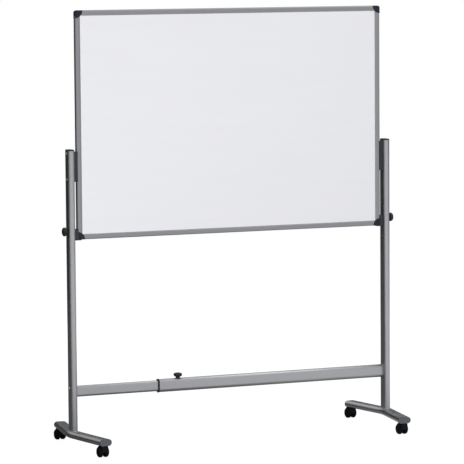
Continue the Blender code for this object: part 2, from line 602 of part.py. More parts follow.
# Castors: stem fixed in the foot, swivelling hood, axle, two wheels and a brake pedal each.
wheel_in = HOOD_WEB / 2 + GAP
pivot_r = HOOD_IN + HOOD_T / 2
pivot = Vector((pivot_r * math.cos(HOOD_REAR), pivot_r * math.sin(HOOD_REAR)))
for side, side_name in ((-1, "left"), (1, "right")):
    for front, front_name in ((-1, "front"), (1, "rear")):
        label = side_name + "_" + front_name
        stem_at = (side * (POST_X - bow(STEM_Y)), MID_Y + front * STEM_Y, 0)
        swivel = empty(label + "_swivel", stem_at)
        axle = empty(label + "_axle_line", (0, CASTOR_TRAIL, WHEEL_FLAT), swivel)

        pin_low = WHEEL_FLAT + HOOD_TOP - PIN_BITE + GAP
        stem = [(PIN_R, pin_low), (PIN_R, CASTOR_H), (STEM_R, CASTOR_H),
                (STEM_R, FOOT_TOP - TUBE_WALL - GAP)]
        skin(label + "_stem", turned_rings(stem, Z), STEEL, parent=swivel)

        def sideways(a, b, x):
            return Vector((x, a, b))

        hood = skin(label + "_hood", outline_rings(hood_canopy(), (-HOOD_W / 2, HOOD_W / 2), sideways),
                    HOOD_PLASTIC, parent=axle)
        web = skin(label + "_web", outline_rings(hood_web(), (-HOOD_WEB / 2, HOOD_WEB / 2), sideways),
                   None, parent=axle)
        boolean(hood, web, "UNION")
        drill(hood, label + "_hood_bores",
              [((0, -CASTOR_TRAIL, HOOD_TOP - PIN_BITE), Z, PIN_R + BORE_GAP, 2 * PIN_BITE),
               ((-HOOD_WEB, 0, 0), X, AXLE_R + BORE_GAP, 2 * HOOD_WEB),
               ((-HOOD_W, pivot.x, pivot.y), X, PEDAL_KNUCKLE + BORE_GAP, 2 * HOOD_W)], axle)
        reach = wheel_in + AXLE_BITE
        skin(label + "_axle", turned_rings([(AXLE_R, -reach), (AXLE_R, reach)], X), STEEL, parent=axle)
        facet = math.pi / WHEEL_SIDES
        for out, out_name in ((-1, "left"), (1, "right")):
            skin(label + "_wheel_" + out_name, turned_rings(wheel_profile(), X * out, WHEEL_SIDES, facet),
                 TREAD, at=(out * wheel_in, 0, 0), parent=axle)
        knuckle = [(a - pivot.x, b - pivot.y) for a, b in pedal_side(pivot)]
        skin(label + "_brake_pedal", outline_rings(knuckle, (-PEDAL_W / 2, PEDAL_W / 2), sideways),
             BLACK_PLASTIC, at=(0, pivot.x, pivot.y), parent=axle)
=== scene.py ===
import math

import bmesh
import bpy
from mathutils import Matrix, Vector


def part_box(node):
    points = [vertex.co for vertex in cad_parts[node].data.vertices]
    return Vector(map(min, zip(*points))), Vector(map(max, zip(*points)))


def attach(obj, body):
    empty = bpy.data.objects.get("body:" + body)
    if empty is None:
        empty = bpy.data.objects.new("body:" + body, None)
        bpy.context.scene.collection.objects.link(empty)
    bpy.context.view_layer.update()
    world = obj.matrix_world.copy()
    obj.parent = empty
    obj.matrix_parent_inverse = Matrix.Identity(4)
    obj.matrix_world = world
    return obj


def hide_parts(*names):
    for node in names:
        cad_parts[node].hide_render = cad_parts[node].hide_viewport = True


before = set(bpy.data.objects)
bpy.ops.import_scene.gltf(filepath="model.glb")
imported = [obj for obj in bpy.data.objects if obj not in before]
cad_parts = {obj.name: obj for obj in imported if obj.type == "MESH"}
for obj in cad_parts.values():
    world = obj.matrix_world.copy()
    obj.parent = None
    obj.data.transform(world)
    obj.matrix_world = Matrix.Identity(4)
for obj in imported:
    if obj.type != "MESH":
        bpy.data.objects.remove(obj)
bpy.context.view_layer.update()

# Feet: one length of flat oval steel tube under each post, bent at its middle so that both
# ends lean in under the board. It is sprayed with silver paint, and two holes in its
# underside take the castor stems.
SIDES = (("left", -1), ("right", 1))
ENDS = (("front", -1), ("rear", 1))
TUBE_WIDTH = 0.060
TUBE_THICK = 0.030
TUBE_WALL = 0.0015
FIT = 0.0003               # gap between pieces that rest on each other
BEND_RADIUS = 0.200
BEND = math.radians(9.4)
BEND_STEPS = 24
FOOT_TUBE_END = 0.28775    # middle of the foot to the end of its tube, front to back
SOCKET_RADIUS = 0.0058
BORE_SIDES = 28
SMOOTH = 32                # edges flatter than this angle in degrees look smooth
DUST_COLOUR = (0.30, 0.29, 0.28, 1)
DUST_SCALE = 38.0
UP = Vector((0, 0, 1))


def middle(node):
    """Middle of a CAD node's box."""
    low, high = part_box(node)
    return [(a + b) / 2 for a, b in zip(low, high)]


post_low, post_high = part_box("right_post")
foot_low, foot_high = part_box("right_foot")
POST_X, MID_Y = middle("right_post")[:2]
POST_IN = post_low.x
FOOT_TOP = foot_high.z
FOOT_Z = middle("right_foot")[2]


def fill(tree, socket, value):
    """Set a socket to a plain value, or link it to an output. None leaves it as it is."""
    if isinstance(value, bpy.types.NodeSocket):
        tree.links.new(value, socket)
    elif value is not None:
        socket.default_value = value


def put(tree, kind, *values, out=0, **named):
    """Add a node and return one output. Values go to its sockets in order, names with a capital
    to the socket of that name, and other names to the node's own settings."""
    node = tree.nodes.new(kind)
    fills = list(enumerate(values))
    for key, value in named.items():
        if key[0].isupper():
            fills.append((key.replace("_", " "), value))
        else:
            setattr(node, key, value)
    for socket, value in fills:
        fill(tree, node.inputs[socket], value)
    return node.outputs[out]


def calc(tree, operation, *values):
    """A Math node."""
    return put(tree, "ShaderNodeMath", *values, operation=operation)


def dress(tree, shader, **sockets):
    """Fill named sockets of a shader."""
    for label, value in sockets.items():
        fill(tree, shader.inputs[label.replace("_", " ")], value)


def start_group(name, kind, inputs, outputs):
    """An empty node group with named sockets, with what it is given and what it results in."""
    group = bpy.data.node_groups.new(name, kind)
    for label, socket, value in inputs:
        made = group.interface.new_socket(label, in_out="INPUT", socket_type=socket)
        if value is not None:
            made.default_value = value
    for label, socket in outputs:
        group.interface.new_socket(label, in_out="OUTPUT", socket_type=socket)
    return group, group.nodes.new("NodeGroupInput").outputs, group.nodes.new("NodeGroupOutput").inputs


def noise(tree, vector, scale, detail, low, high):
    """Noise between low and high, spread over 0 to 1."""
    spots = put(tree, "ShaderNodeTexNoise", Vector=vector, Scale=scale, Detail=detail)
    return put(tree, "ShaderNodeMapRange", Value=spots, From_Min=low, From_Max=high)


def mix_colours(tree, share, first, second):
    """Two colours mixed by a mask."""
    number_sockets = (None,) * 5
    return put(tree, "ShaderNodeMix", share, *number_sockets, first, second, out=2, data_type="RGBA")


FLOAT, COLOUR = "NodeSocketFloat", "NodeSocketColor"
mottle, given, result = start_group(
    "surface_mottle", "ShaderNodeTree",
    [("Grain Scale", FLOAT, 900.0), ("Patch Scale", FLOAT, 9.0), ("Deep", COLOUR, None),
     ("Pale", COLOUR, None), ("Sleek", FLOAT, 0.35), ("Dull", FLOAT, 0.5)],
    [("Color", COLOUR), ("Roughness", FLOAT), ("Height", FLOAT)])
place = put(mottle, "ShaderNodeTexCoord", out="Object")
grain = noise(mottle, place, given["Grain Scale"], detail=2.0, low=0.3, high=0.7)
patch = noise(mottle, place, given["Patch Scale"], detail=4.0, low=0.3, high=0.7)
half = calc(mottle, "MULTIPLY", calc(mottle, "ADD", grain, patch), 0.5)
fill(mottle, result["Color"], mix_colours(mottle, half, given["Deep"], given["Pale"]))
fill(mottle, result["Roughness"], put(
    mottle, "ShaderNodeMapRange", Value=half, To_Min=given["Sleek"], To_Max=given["Dull"]))
fill(mottle, result["Height"], grain)

dust, given, result = start_group(
    "floor_dust", "ShaderNodeTree", [("Reach", FLOAT, 0.09), ("Amount", FLOAT, 0.3)], [("Mask", FLOAT)])
place = put(dust, "ShaderNodeTexCoord", out="Object")
height = put(dust, "ShaderNodeSeparateXYZ", place, out="Z")
fade = put(dust, "ShaderNodeMapRange", Value=height, From_Max=given["Reach"], To_Min=given["Amount"],
           To_Max=0.0)
cloud = noise(dust, place, DUST_SCALE, detail=5.0, low=0.35, high=0.7)
fill(dust, result["Mask"], calc(dust, "MULTIPLY", fade, cloud))


def plain_material(name):
    """A new material, its node tree and its Principled shader."""
    material = bpy.data.materials.new(name)
    material.use_nodes = True
    return material, material.node_tree, material.node_tree.nodes["Principled BSDF"]


def mottled_material(name, deep, pale, rough, grain, patch, bump, dusty=0.0, **sockets):
    """A Principled material with the mottled surface group, its bump and, near the floor, dust."""
    material, tree, shader = plain_material(name)
    skin = put(tree, "ShaderNodeGroup", node_tree=mottle).node
    dress(tree, skin, Grain_Scale=grain, Patch_Scale=patch, Deep=(*deep, 1), Pale=(*pale, 1),
          Sleek=rough[0], Dull=rough[1])
    colour = skin.outputs["Color"]
    if dusty:
        veil = put(tree, "ShaderNodeGroup", node_tree=dust)
        dress(tree, veil.node, Amount=dusty)
        colour = mix_colours(tree, veil, colour, DUST_COLOUR)
    relief = put(tree, "ShaderNodeBump", Strength=1.0, Distance=bump, Height=skin.outputs["Height"])
    dress(tree, shader, Base_Color=colour, Roughness=skin.outputs["Roughness"], Normal=relief, **sockets)
    return material


silver_paint = mottled_material(
    "silver_paint", deep=(0.345, 0.35, 0.364), pale=(0.374, 0.379, 0.393), rough=(0.27, 0.34),
    grain=1500.0, patch=7.0, bump=0.00004, dusty=0.05, Metallic=0.9, Specular_IOR_Level=0.15)


def add_object(name, data):
    """A new object in the scene."""
    obj = bpy.data.objects.new(name, data)
    bpy.context.scene.collection.objects.link(obj)
    return obj


def plain_object(name, places, edges=(), faces=()):
    """An object of points, edges or faces just as they are listed."""
    mesh = bpy.data.meshes.new(name)
    mesh.from_pydata(places, edges, faces)
    return add_object(name, mesh)


def soften(obj, sharp=SMOOTH):
    """Smooth shading up to an angle in degrees, sharp edges past it."""
    obj.data.shade_smooth()
    obj.data.set_sharp_from_angle(angle=math.radians(sharp))
    return obj


def body_of_rings(name, rings, material, loop=False, sharp=SMOOTH):
    """A closed body at the origin with walls between rings of points: a closed loop of rings, or a
    stack with two end faces."""
    bm = bmesh.new()
    rows = [[bm.verts.new(p) for p in ring] for ring in rings]
    pairs = list(zip(rows, rows[1:]))
    if loop:
        pairs.append((rows[-1], rows[0]))
    else:
        bm.faces.new(rows[0])
        bm.faces.new(rows[-1])
    for low, high in pairs:
        for i in range(len(low)):
            j = (i + 1) % len(low)
            bm.faces.new((low[i], low[j], high[j], high[i]))
    bmesh.ops.recalc_face_normals(bm, faces=bm.faces)
    mesh = bpy.data.meshes.new(name)
    bm.to_mesh(mesh)
    bm.free()
    mesh.materials.append(material)
    return soften(add_object(name, mesh), sharp)


def settle(obj, sharp=SMOOTH):
    """Turn an object's modifiers into its plain mesh."""
    bpy.context.view_layer.update()
    shown = obj.evaluated_get(bpy.context.evaluated_depsgraph_get())
    mesh = bpy.data.meshes.new_from_object(shown)
    obj.modifiers.clear()
    obj.data = mesh
    mesh.name = obj.name
    return soften(obj, sharp)


def run_nodes(obj, tree, inputs, sharp=SMOOTH):
    """Run a geometry tree on an object with its named inputs and keep the plain mesh."""
    step = obj.modifiers.new(tree.name, "NODES")
    step.node_group = tree
    for item in tree.interface.items_tree:
        if item.in_out == "INPUT" and item.name in inputs:
            step[item.identifier] = inputs[item.name]
    return settle(obj, sharp)


def hand_over(obj, body, slot, *nodes):
    """Give a finished piece to its CAD body and hide the CAD nodes it stands for. The finish slot is not
    used.
    """
    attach(obj, body)
    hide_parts(*nodes)


def sweep(start, stop, steps):
    """(cos, sin) at even steps from one angle to another."""
    angles = [start + (stop - start) * i / steps for i in range(steps + 1)]
    return [(math.cos(a), math.sin(a)) for a in angles]


def oval(width, thick, steps=20):
    """Flat oval outline. A point just inside each flat keeps the flats plain in the light."""
    radius = thick / 2
    straight = width / 2 - radius
    inset = 0.0005
    points = []
    for way in (1, -1):
        points.append((way * (straight - inset), -way * radius))
        points += [(way * (straight + radius * c), way * radius * s)
                   for c, s in sweep(-math.pi / 2, math.pi / 2, steps)]
        points.append((way * (straight - inset), way * radius))
    return points


def oval_ring(width, thick, centre, wide, across):
    """A flat oval in space, with its width and its thickness along two directions."""
    return [centre + wide * a + across * b for a, b in oval(width, thick)]


GEOMETRY, OBJECT, INTEGER = "NodeSocketGeometry", "NodeSocketObject", "NodeSocketInt"
VECTOR, MATERIAL = "NodeSocketVector", "NodeSocketMaterial"


def start_tree(name, *inputs):
    """An empty geometry tree, given a Geometry, named inputs and a Finish."""
    sockets = [("Geometry", GEOMETRY, None), *inputs, ("Finish", MATERIAL, None)]
    return start_group(name, "GeometryNodeTree", sockets, [("Geometry", GEOMETRY)])


def end_tree(tree, given, result, geometry):
    """Close a geometry tree with a plain mesh in the given finish."""
    whole = put(tree, "GeometryNodeRealizeInstances", Geometry=geometry)
    fill(tree, result["Geometry"], put(
        tree, "GeometryNodeSetMaterial", Geometry=whole, Material=given["Finish"]))


drilled, given, result = start_tree(
    "drilled_holes", ("Drill Points", OBJECT, None), ("Depth", FLOAT, 0.01), ("Turn", FLOAT, 0.0))
spots = put(drilled, "GeometryNodeObjectInfo", Object=given["Drill Points"], out="Geometry")
bit = put(drilled, "GeometryNodeMeshCylinder", Vertices=BORE_SIDES, Radius=1.0, Depth=1.0)
radius = put(drilled, "GeometryNodeInputNamedAttribute", Name="bore", data_type="FLOAT", out="Attribute")
size = put(drilled, "ShaderNodeCombineXYZ", radius, radius, given["Depth"])
lean = put(drilled, "ShaderNodeCombineXYZ", Y=given["Turn"])
bits = put(drilled, "GeometryNodeInstanceOnPoints", Points=spots, Instance=bit, Rotation=lean, Scale=size)
solid_bits = put(drilled, "GeometryNodeRealizeInstances", Geometry=bits)
end_tree(drilled, given, result, put(
    drilled, "GeometryNodeMeshBoolean", Mesh_1=given["Geometry"], Mesh_2=solid_bits,
    operation="DIFFERENCE", solver="EXACT"))


def drill(obj, holes, depth, turn, finish, sharp=SMOOTH):
    """Drill an object at (place, radius) points with the hole tree."""
    points = plain_object("drill_points", [place for place, radius in holes])
    bore = points.data.attributes.new("bore", "FLOAT", "POINT")
    bore.data.foreach_set("value", [radius for place, radius in holes])
    run_nodes(obj, drilled, {"Drill Points": points, "Depth": depth, "Turn": turn, "Finish": finish}, sharp)
    bpy.data.objects.remove(points)


def bow(y):
    """How far a foot's middle line lies inside the post, at a distance y in front of or behind it."""
    arc_end = BEND_RADIUS * math.sin(BEND)
    if abs(y) < arc_end:
        return BEND_RADIUS - math.sqrt(BEND_RADIUS ** 2 - y ** 2)
    return BEND_RADIUS * (1 - math.cos(BEND)) + (abs(y) - arc_end) * math.tan(BEND)


bends = [BEND * (1 - 2 * i / BEND_STEPS) for i in range(BEND_STEPS + 1)]
line = [(FOOT_TUBE_END, BEND), *((BEND_RADIUS * math.sin(t), t) for t in bends), (-FOOT_TUBE_END, -BEND)]
for side, way in SIDES:
    skins = []
    for wall in (0.0, TUBE_WALL):
        run = [oval_ring(TUBE_WIDTH - 2 * wall, TUBE_THICK - 2 * wall,
                         Vector((way * (POST_X - bow(y)), MID_Y + y, FOOT_Z)),
                         Vector((math.cos(t), way * math.sin(t), 0)), UP) for y, t in line]
        skins += run[::-1] if wall else run
    foot = body_of_rings(f"{side}_foot_tube", skins, silver_paint, loop=True)
    stems = [middle(f"{side}_{end}_stem") for end, front in ENDS]
    drill(foot, [((x, y, foot_low.z), SOCKET_RADIUS) for x, y, z in stems], TUBE_THICK / 2, 0.0, silver_paint)
    hand_over(foot, f"{side}_stand", "silver_paint", f"{side}_foot")

# Foot plugs: grey moulded caps pushed into both ends of each foot. The face has a rounded
# edge and a shallow sunk field.
EASE = 0.0001              # unit of eased edges and other small steps
PLUG_DEPTH = 0.006
PLUG_PLATE = 0.004
PLUG_CROWN = 0.0012
FIELD_INSET = 0.0042
FIELD_DEPTH = 0.0005
QUARTER = math.pi / 2
plug_plastic = mottled_material(
    "plug_plastic", deep=(0.095, 0.102, 0.116), pale=(0.112, 0.119, 0.133), rough=(0.46, 0.58),
    grain=1300.0, patch=30.0, bump=0.00003, dusty=0.1, Specular_IOR_Level=0.2)


def plug_rings(centre, out, wide, across, depth, plate, crown, field_inset=0.0, field_depth=0.0):
    """Moulded plug: shank in the tube, rim over its end, rounded edge and a sunk field."""
    room = 2 * (TUBE_WALL + FIT)
    top = FIT + plate
    steps = [(room, -depth), (room, FIT), (4 * EASE, FIT), (0.0, FIT + 2 * EASE)]
    steps += [(3 * crown * (1 - c), top - crown * (1 - s)) for c, s in sweep(0, QUARTER, 6)]
    if field_depth:
        steps += [(2 * field_inset, top), (2 * field_inset + 6 * EASE, top - field_depth)]
    return [oval_ring(TUBE_WIDTH - shrink, TUBE_THICK - shrink, centre + out * reach, wide, across)
            for shrink, reach in steps]


for side, way in SIDES:
    for end, front in ENDS:
        out = Vector((-way * math.sin(BEND), front * math.cos(BEND), 0))
        wide = Vector((math.cos(BEND), way * front * math.sin(BEND), 0))
        centre = Vector((way * (POST_X - bow(FOOT_TUBE_END)), MID_Y + front * FOOT_TUBE_END, FOOT_Z))
        plug = body_of_rings(f"{side}_{end}_foot_plug", plug_rings(
            centre, out, wide, UP, PLUG_DEPTH, PLUG_PLATE, PLUG_CROWN, FIELD_INSET, FIELD_DEPTH),
            plug_plastic)
        hand_over(plug, f"{side}_stand", "grey_plug_plastic", f"{side}_{end}_foot_cap")

# Castors: black twin-wheel castors on zinc-plated stems pressed into the feet. A moulded
# hood with a web between the wheels turns on the stem, the wheels run on a steel axle,
# and a small brake pedal hangs on the hood's rear edge.
WHEEL_RADIUS = 0.02458
WHEEL_SIDES = 48
WHEEL_WIDTH = 0.022
TREAD_WIDTH = 0.0105
TREAD_EDGE = 0.0052
AXLE_BORE = 0.0033
AXLE_DEPTH = 0.0143
HUB_RADIUS = 0.0065
RIM_INSIDE = 0.0190
RIM_RECESS = 0.0040
RIB_COUNT = 9
RIB_THICK = 0.0013
BUTTON_RADIUS = 0.0048
HOOD_INSIDE = 0.0258
HOOD_WALL = 0.003
HOOD_NOSE = 0.0308
HOOD_TOP = 0.0284
HOOD_ROUND = 0.005
CREST_REAR = 0.002         # the hood's top is all but level between these, in front of the axle
CREST_FRONT = 0.008
HOOD_REAR = math.radians(47)
HOOD_SHOULDER = math.radians(76)
HOOD_HALF = 0.015
HOOD_EDGE = ((1.0, 18 * EASE), (0.975, 8 * EASE), (0.93, 2 * EASE), (0.87, 0.0))    # half width, drawn in
WEB_HALF = 0.004
WEB_ENDS = math.radians(168), math.radians(58)
BOSS_RADIUS = 0.0085
STEM_BORE = 0.0043
STEM_SINK = 0.009
STEM_PAST = 0.004
AXLE_CUT = 0.01            # half lengths of the cutters for the axle and the knuckle
PEDAL_CUT = 0.02
TRAIL = 0.017
PEDAL_HALF = 0.007
PEDAL_TIP = math.radians(17)
PEDAL_INSIDE = 0.02905
PEDAL_THICK = 0.003
PEDAL_RIB = 0.0005
PEDAL_RIB_COUNT = 3
PEDAL_RIB_SIDES = 10
PEDAL_RIB_PITCH = 0.0017
KNUCKLE = 0.0017
wheel_nylon = mottled_material(
    "wheel_nylon", deep=(0.0045, 0.0045, 0.005), pale=(0.0075, 0.0075, 0.008), rough=(0.42, 0.56),
    grain=700.0, patch=55.0, bump=0.00003, dusty=0.01, Specular_IOR_Level=0.03)
hood_plastic = mottled_material(
    "hood_plastic", deep=(0.006, 0.0065, 0.009), pale=(0.009, 0.010, 0.013), rough=(0.38, 0.50),
    grain=1100.0, patch=40.0, bump=0.00004, dusty=0.01, Specular_IOR_Level=0.05)
pedal_plastic = mottled_material(
    "pedal_plastic", deep=(0.006, 0.006, 0.007), pale=(0.009, 0.009, 0.010), rough=(0.40, 0.52),
    grain=1100.0, patch=40.0, bump=0.00004, dusty=0.01, Specular_IOR_Level=0.05)
zinc_steel = mottled_material(
    "zinc_steel", deep=(0.42, 0.42, 0.43), pale=(0.56, 0.56, 0.57), rough=(0.24, 0.40),
    grain=2200.0, patch=120.0, bump=0.00001, Metallic=1.0)


def fuse(tree, given, instances):
    """The given geometry made one with instances of a rib."""
    solid = put(tree, "GeometryNodeRealizeInstances", Geometry=instances)
    fused = put(tree, "GeometryNodeMeshBoolean", Mesh_2=given["Geometry"], operation="UNION", solver="EXACT")
    tree.links.new(solid, fused.node.inputs["Mesh 2"])
    return fused


ribbed, given, result = start_tree(
    "ribs_round_a_hub", ("Count", INTEGER, 8), ("Ring Radius", FLOAT, 0.012),
    ("Rib Size", VECTOR, (0.011, 0.0013, 0.004)), ("Rib Middle", FLOAT, 0.002))
ring = put(ribbed, "GeometryNodeMeshCircle", Vertices=given["Count"], Radius=given["Ring Radius"])
lift = put(ribbed, "ShaderNodeCombineXYZ", Z=given["Rib Middle"])
raised = put(ribbed, "GeometryNodeSetPosition", Geometry=ring, Offset=lift)
part = calc(ribbed, "DIVIDE", put(ribbed, "GeometryNodeInputIndex"), given["Count"])
spin = put(ribbed, "ShaderNodeCombineXYZ", Z=calc(ribbed, "MULTIPLY", part, 2 * math.pi))
rib = put(ribbed, "GeometryNodeMeshCube", Size=given["Rib Size"])
end_tree(ribbed, given, result, fuse(ribbed, given, put(
    ribbed, "GeometryNodeInstanceOnPoints", Points=raised, Instance=rib, Rotation=spin)))

rowed, given, result = start_tree(
    "row_of_ribs", ("Count", INTEGER, 3), ("First", VECTOR, (0, 0, 0)), ("Step", VECTOR, (0, 0, 0)),
    ("Rib Radius", FLOAT, 0.0005), ("Rib Length", FLOAT, 0.01))
row = put(rowed, "GeometryNodeMeshLine", Count=given["Count"], Start_Location=given["First"],
          Offset=given["Step"])
rib = put(rowed, "GeometryNodeMeshCylinder", Vertices=PEDAL_RIB_SIDES, Radius=given["Rib Radius"],
          Depth=given["Rib Length"])
lying = put(rowed, "GeometryNodeTransform", Geometry=rib, Rotation=(0, QUARTER, 0))
end_tree(rowed, given, result, fuse(rowed, given, put(
    rowed, "GeometryNodeInstanceOnPoints", Points=row, Instance=lying)))


def facing(axis):
    """The turn that takes +Z to an axis."""
    return Vector(axis).to_track_quat("Z", "Y").to_matrix().to_4x4()


def turned_rings(profile, axis, sides):
    """Rings of a turned shape about an axis through the origin: profile holds (radius, distance)."""
    turn = facing(axis)
    circle = sweep(0, 2 * math.pi, sides)[:-1]
    return [[turn @ Vector((radius * c, radius * s, reach)) for c, s in circle] for radius, reach in profile]


def wheel_profile():
    """Inner recess, rounded tread, groove, domed cover and hub button: (radius, distance out)."""
    points = [(AXLE_BORE, AXLE_DEPTH), (AXLE_BORE, 0.0), (HUB_RADIUS, 0.0), (HUB_RADIUS, RIM_RECESS),
              (RIM_INSIDE, RIM_RECESS), (RIM_INSIDE, 0.0)]
    points += [(WHEEL_RADIUS - TREAD_EDGE * (1 - s), TREAD_EDGE * (1 - c)) for c, s in sweep(0, QUARTER, 6)]
    groove = WHEEL_RADIUS - 6 * EASE
    dome = TREAD_WIDTH + 9 * EASE
    points += [(WHEEL_RADIUS, TREAD_WIDTH), (groove, TREAD_WIDTH + 2 * EASE),
               (groove, TREAD_WIDTH + 7 * EASE)]
    points += [(HUB_RADIUS + (WHEEL_RADIUS - EASE - HUB_RADIUS) * c, dome + (WHEEL_WIDTH - dome) * s)
               for c, s in sweep(0, QUARTER, 14)]
    for radius, sunk in ((BUTTON_RADIUS + 6 * EASE, 2), (BUTTON_RADIUS + 3 * EASE, 8), (BUTTON_RADIUS, 8),
                         (BUTTON_RADIUS - 4 * EASE, 2), (BUTTON_RADIUS / 2, 0)):
        points.append((radius, WHEEL_WIDTH - sunk * EASE))
    return points


def canopy(ease):
    """Side view of the hood, with its outer line drawn in by ease: (behind the axle, above it)."""
    outside = HOOD_INSIDE + HOOD_WALL - ease
    top = HOOD_TOP - ease
    nose = HOOD_NOSE - ease
    points = [(HOOD_INSIDE * c, HOOD_INSIDE * s) for c, s in sweep(math.pi, HOOD_REAR, 20)]
    points += [(outside * c, outside * s) for c, s in sweep(HOOD_REAR, HOOD_SHOULDER, 6)]
    points += [(-CREST_REAR, top - EASE), (-CREST_FRONT, top)]
    points += [(HOOD_ROUND * (1 + c) - nose, top - HOOD_ROUND * (1 - s))
               for c, s in sweep(QUARTER, math.pi, 8)]
    return points + [(-nose, 0.0)]


def web_outline():
    """Side view of the web between the wheels, from the axle boss up into the canopy."""
    reach = HOOD_INSIDE + HOOD_WALL / 2
    points = [(reach * c, reach * s) for c, s in sweep(*WEB_ENDS, 12)]
    return points + [(BOSS_RADIUS * c, BOSS_RADIUS * s) for c, s in sweep(0, -math.pi, 16)]


pedal_pivot = (HOOD_INSIDE + HOOD_WALL / 2) * Vector((math.cos(HOOD_REAR), math.sin(HOOD_REAR)))
pedal_tip = Vector((math.cos(PEDAL_TIP), math.sin(PEDAL_TIP)))
pedal_down = Vector((pedal_tip.y, -pedal_tip.x))


def pedal_outline():
    """Side view of the brake pedal with a round knuckle and a rounded tip."""
    half = (PEDAL_THICK - PEDAL_RIB) / 2
    points = [pedal_pivot + KNUCKLE * Vector(p) for p in sweep(HOOD_REAR, HOOD_REAR + math.pi, 12)]
    points += [pedal_tip * (PEDAL_INSIDE + half + half * s) + pedal_down * (half * c - half)
               for c, s in sweep(-QUARTER, QUARTER, 6)]
    return [(p.x, p.y) for p in points]


def across_rings(outlines, xs):
    """Rings of side views set at distances along X."""
    return [[Vector((x, a, b)) for a, b in outline] for outline, x in zip(outlines, xs)]


def combine(obj, tool, operation):
    """Join a tool object to a piece or cut it out, and drop the tool."""
    step = obj.modifiers.new(operation, "BOOLEAN")
    step.operation = operation
    step.solver = "EXACT"
    step.object = tool
    settle(obj)
    bpy.data.objects.remove(tool)


X_AXIS, Y_AXIS = Vector((1, 0, 0)), Vector((0, 1, 0))
hood_edges = [(-w, e) for w, e in HOOD_EDGE] + [(w, e) for w, e in HOOD_EDGE[::-1]]
hood_model = body_of_rings("hood_model", across_rings(
    [canopy(e) for w, e in hood_edges], [w * HOOD_HALF for w, e in hood_edges]), hood_plastic)
web_model = body_of_rings(
    "web_model", across_rings([web_outline()] * 2, (-WEB_HALF, WEB_HALF)), hood_plastic)
combine(hood_model, web_model, "UNION")
for radius, ends, axis, spot in (
        (STEM_BORE, (-STEM_SINK, STEM_PAST), UP, (0, -TRAIL, HOOD_TOP)),
        (AXLE_BORE, (-AXLE_CUT, AXLE_CUT), X_AXIS, (0, 0, 0)),
        (KNUCKLE + FIT, (-PEDAL_CUT, PEDAL_CUT), X_AXIS, (0, *pedal_pivot))):
    cutter = body_of_rings("cutter", turned_rings([(radius, e) for e in ends], axis, BORE_SIDES), zinc_steel)
    cutter.data.transform(Matrix.Translation(spot))
    combine(hood_model, cutter, "DIFFERENCE")
wheel_model = body_of_rings("wheel_model", turned_rings(wheel_profile(), UP, WHEEL_SIDES), wheel_nylon)
run_nodes(wheel_model, ribbed, {
    "Count": RIB_COUNT, "Ring Radius": (HUB_RADIUS + RIM_INSIDE) / 2,
    "Rib Size": (RIM_INSIDE - HUB_RADIUS + 8 * EASE, RIB_THICK, RIM_RECESS - 2 * EASE),
    "Rib Middle": (RIM_RECESS + 6 * EASE) / 2, "Finish": wheel_nylon})
pedal_model = body_of_rings("pedal_model", across_rings(
    [pedal_outline()] * 2, (-PEDAL_HALF + 3 * EASE, PEDAL_HALF - 3 * EASE)), pedal_plastic)
first = pedal_tip * (PEDAL_INSIDE + PEDAL_THICK - PEDAL_RIB) - pedal_down * (12 * EASE)
run_nodes(pedal_model, rowed, {
    "Count": PEDAL_RIB_COUNT, "First": (0, *first), "Step": (0, *(pedal_down * -PEDAL_RIB_PITCH)),
    "Rib Radius": PEDAL_RIB, "Rib Length": 2 * PEDAL_HALF - 20 * EASE, "Finish": pedal_plastic})


def cast(name, model, place, turn=None):
    """A piece from a model mesh, turned about the origin and moved to its place."""
    mesh = model.data.copy()
    mesh.name = name
    mesh.transform(Matrix.Translation(place) @ (turn or Matrix.Identity(4)))
    return add_object(name, mesh)


for side, way in SIDES:
    for end, front in ENDS:
        label = f"{side}_{end}"
        axle = Vector(middle(f"{label}_axle"))
        hood = cast(f"{label}_castor_hood", hood_model, axle)
        hand_over(hood, f"{label}_castor", "hood_plastic", f"{label}_hood")
        pedal = cast(f"{label}_pedal", pedal_model, axle)
        hand_over(pedal, f"{label}_brake", "black_plastic", f"{label}_brake_pedal")
        for flank, out in SIDES:
            wheel = cast(f"{label}_{flank}_twin_wheel", wheel_model,
                         axle + X_AXIS * out * (WEB_HALF + FIT), facing(X_AXIS * out))
            hand_over(wheel, f"{label}_{flank}_wheel", "wheel_plastic", f"{label}_wheel_{flank}")
        for node in (f"{label}_stem", f"{label}_axle"):
            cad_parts[node].data.materials[0] = zinc_steel
for model in (hood_model, wheel_model, pedal_model):
    bpy.data.objects.remove(model)

# Posts: flat oval steel tubes in the same silver paint, welded upright on the feet. Each is
# drilled through for the bracket screws, the clamp knob, the crossbar bolt and three spare
# height holes. A painted weld bead runs round the foot of the post.
HEIGHT_HOLES = (1.176, 1.031, 0.886)
HEIGHT_HOLE_RADIUS = 0.0045
SCREW_HEIGHTS = (1.329, 1.213)
SCREW_HOLE = 0.0028
KNOB_HEIGHT = middle("right_bracket_knob")[2]
BAR_HEIGHT = middle("crossbar_outer_tube")[2]
BOLT_HEIGHT = middle("right_crossbar_bolt")[2]
STUD_HOLE = 0.0043
DRILL_PAST = 0.004         # how much longer the drill is than the post is thick
BEAD_RADIUS = 0.0019
BEAD_PITCH = 0.0042
BEAD_RIPPLE = 0.00022
BEAD_STEPS = 220
BEAD_SIDES = 12
BEAD_SMOOTH = 60

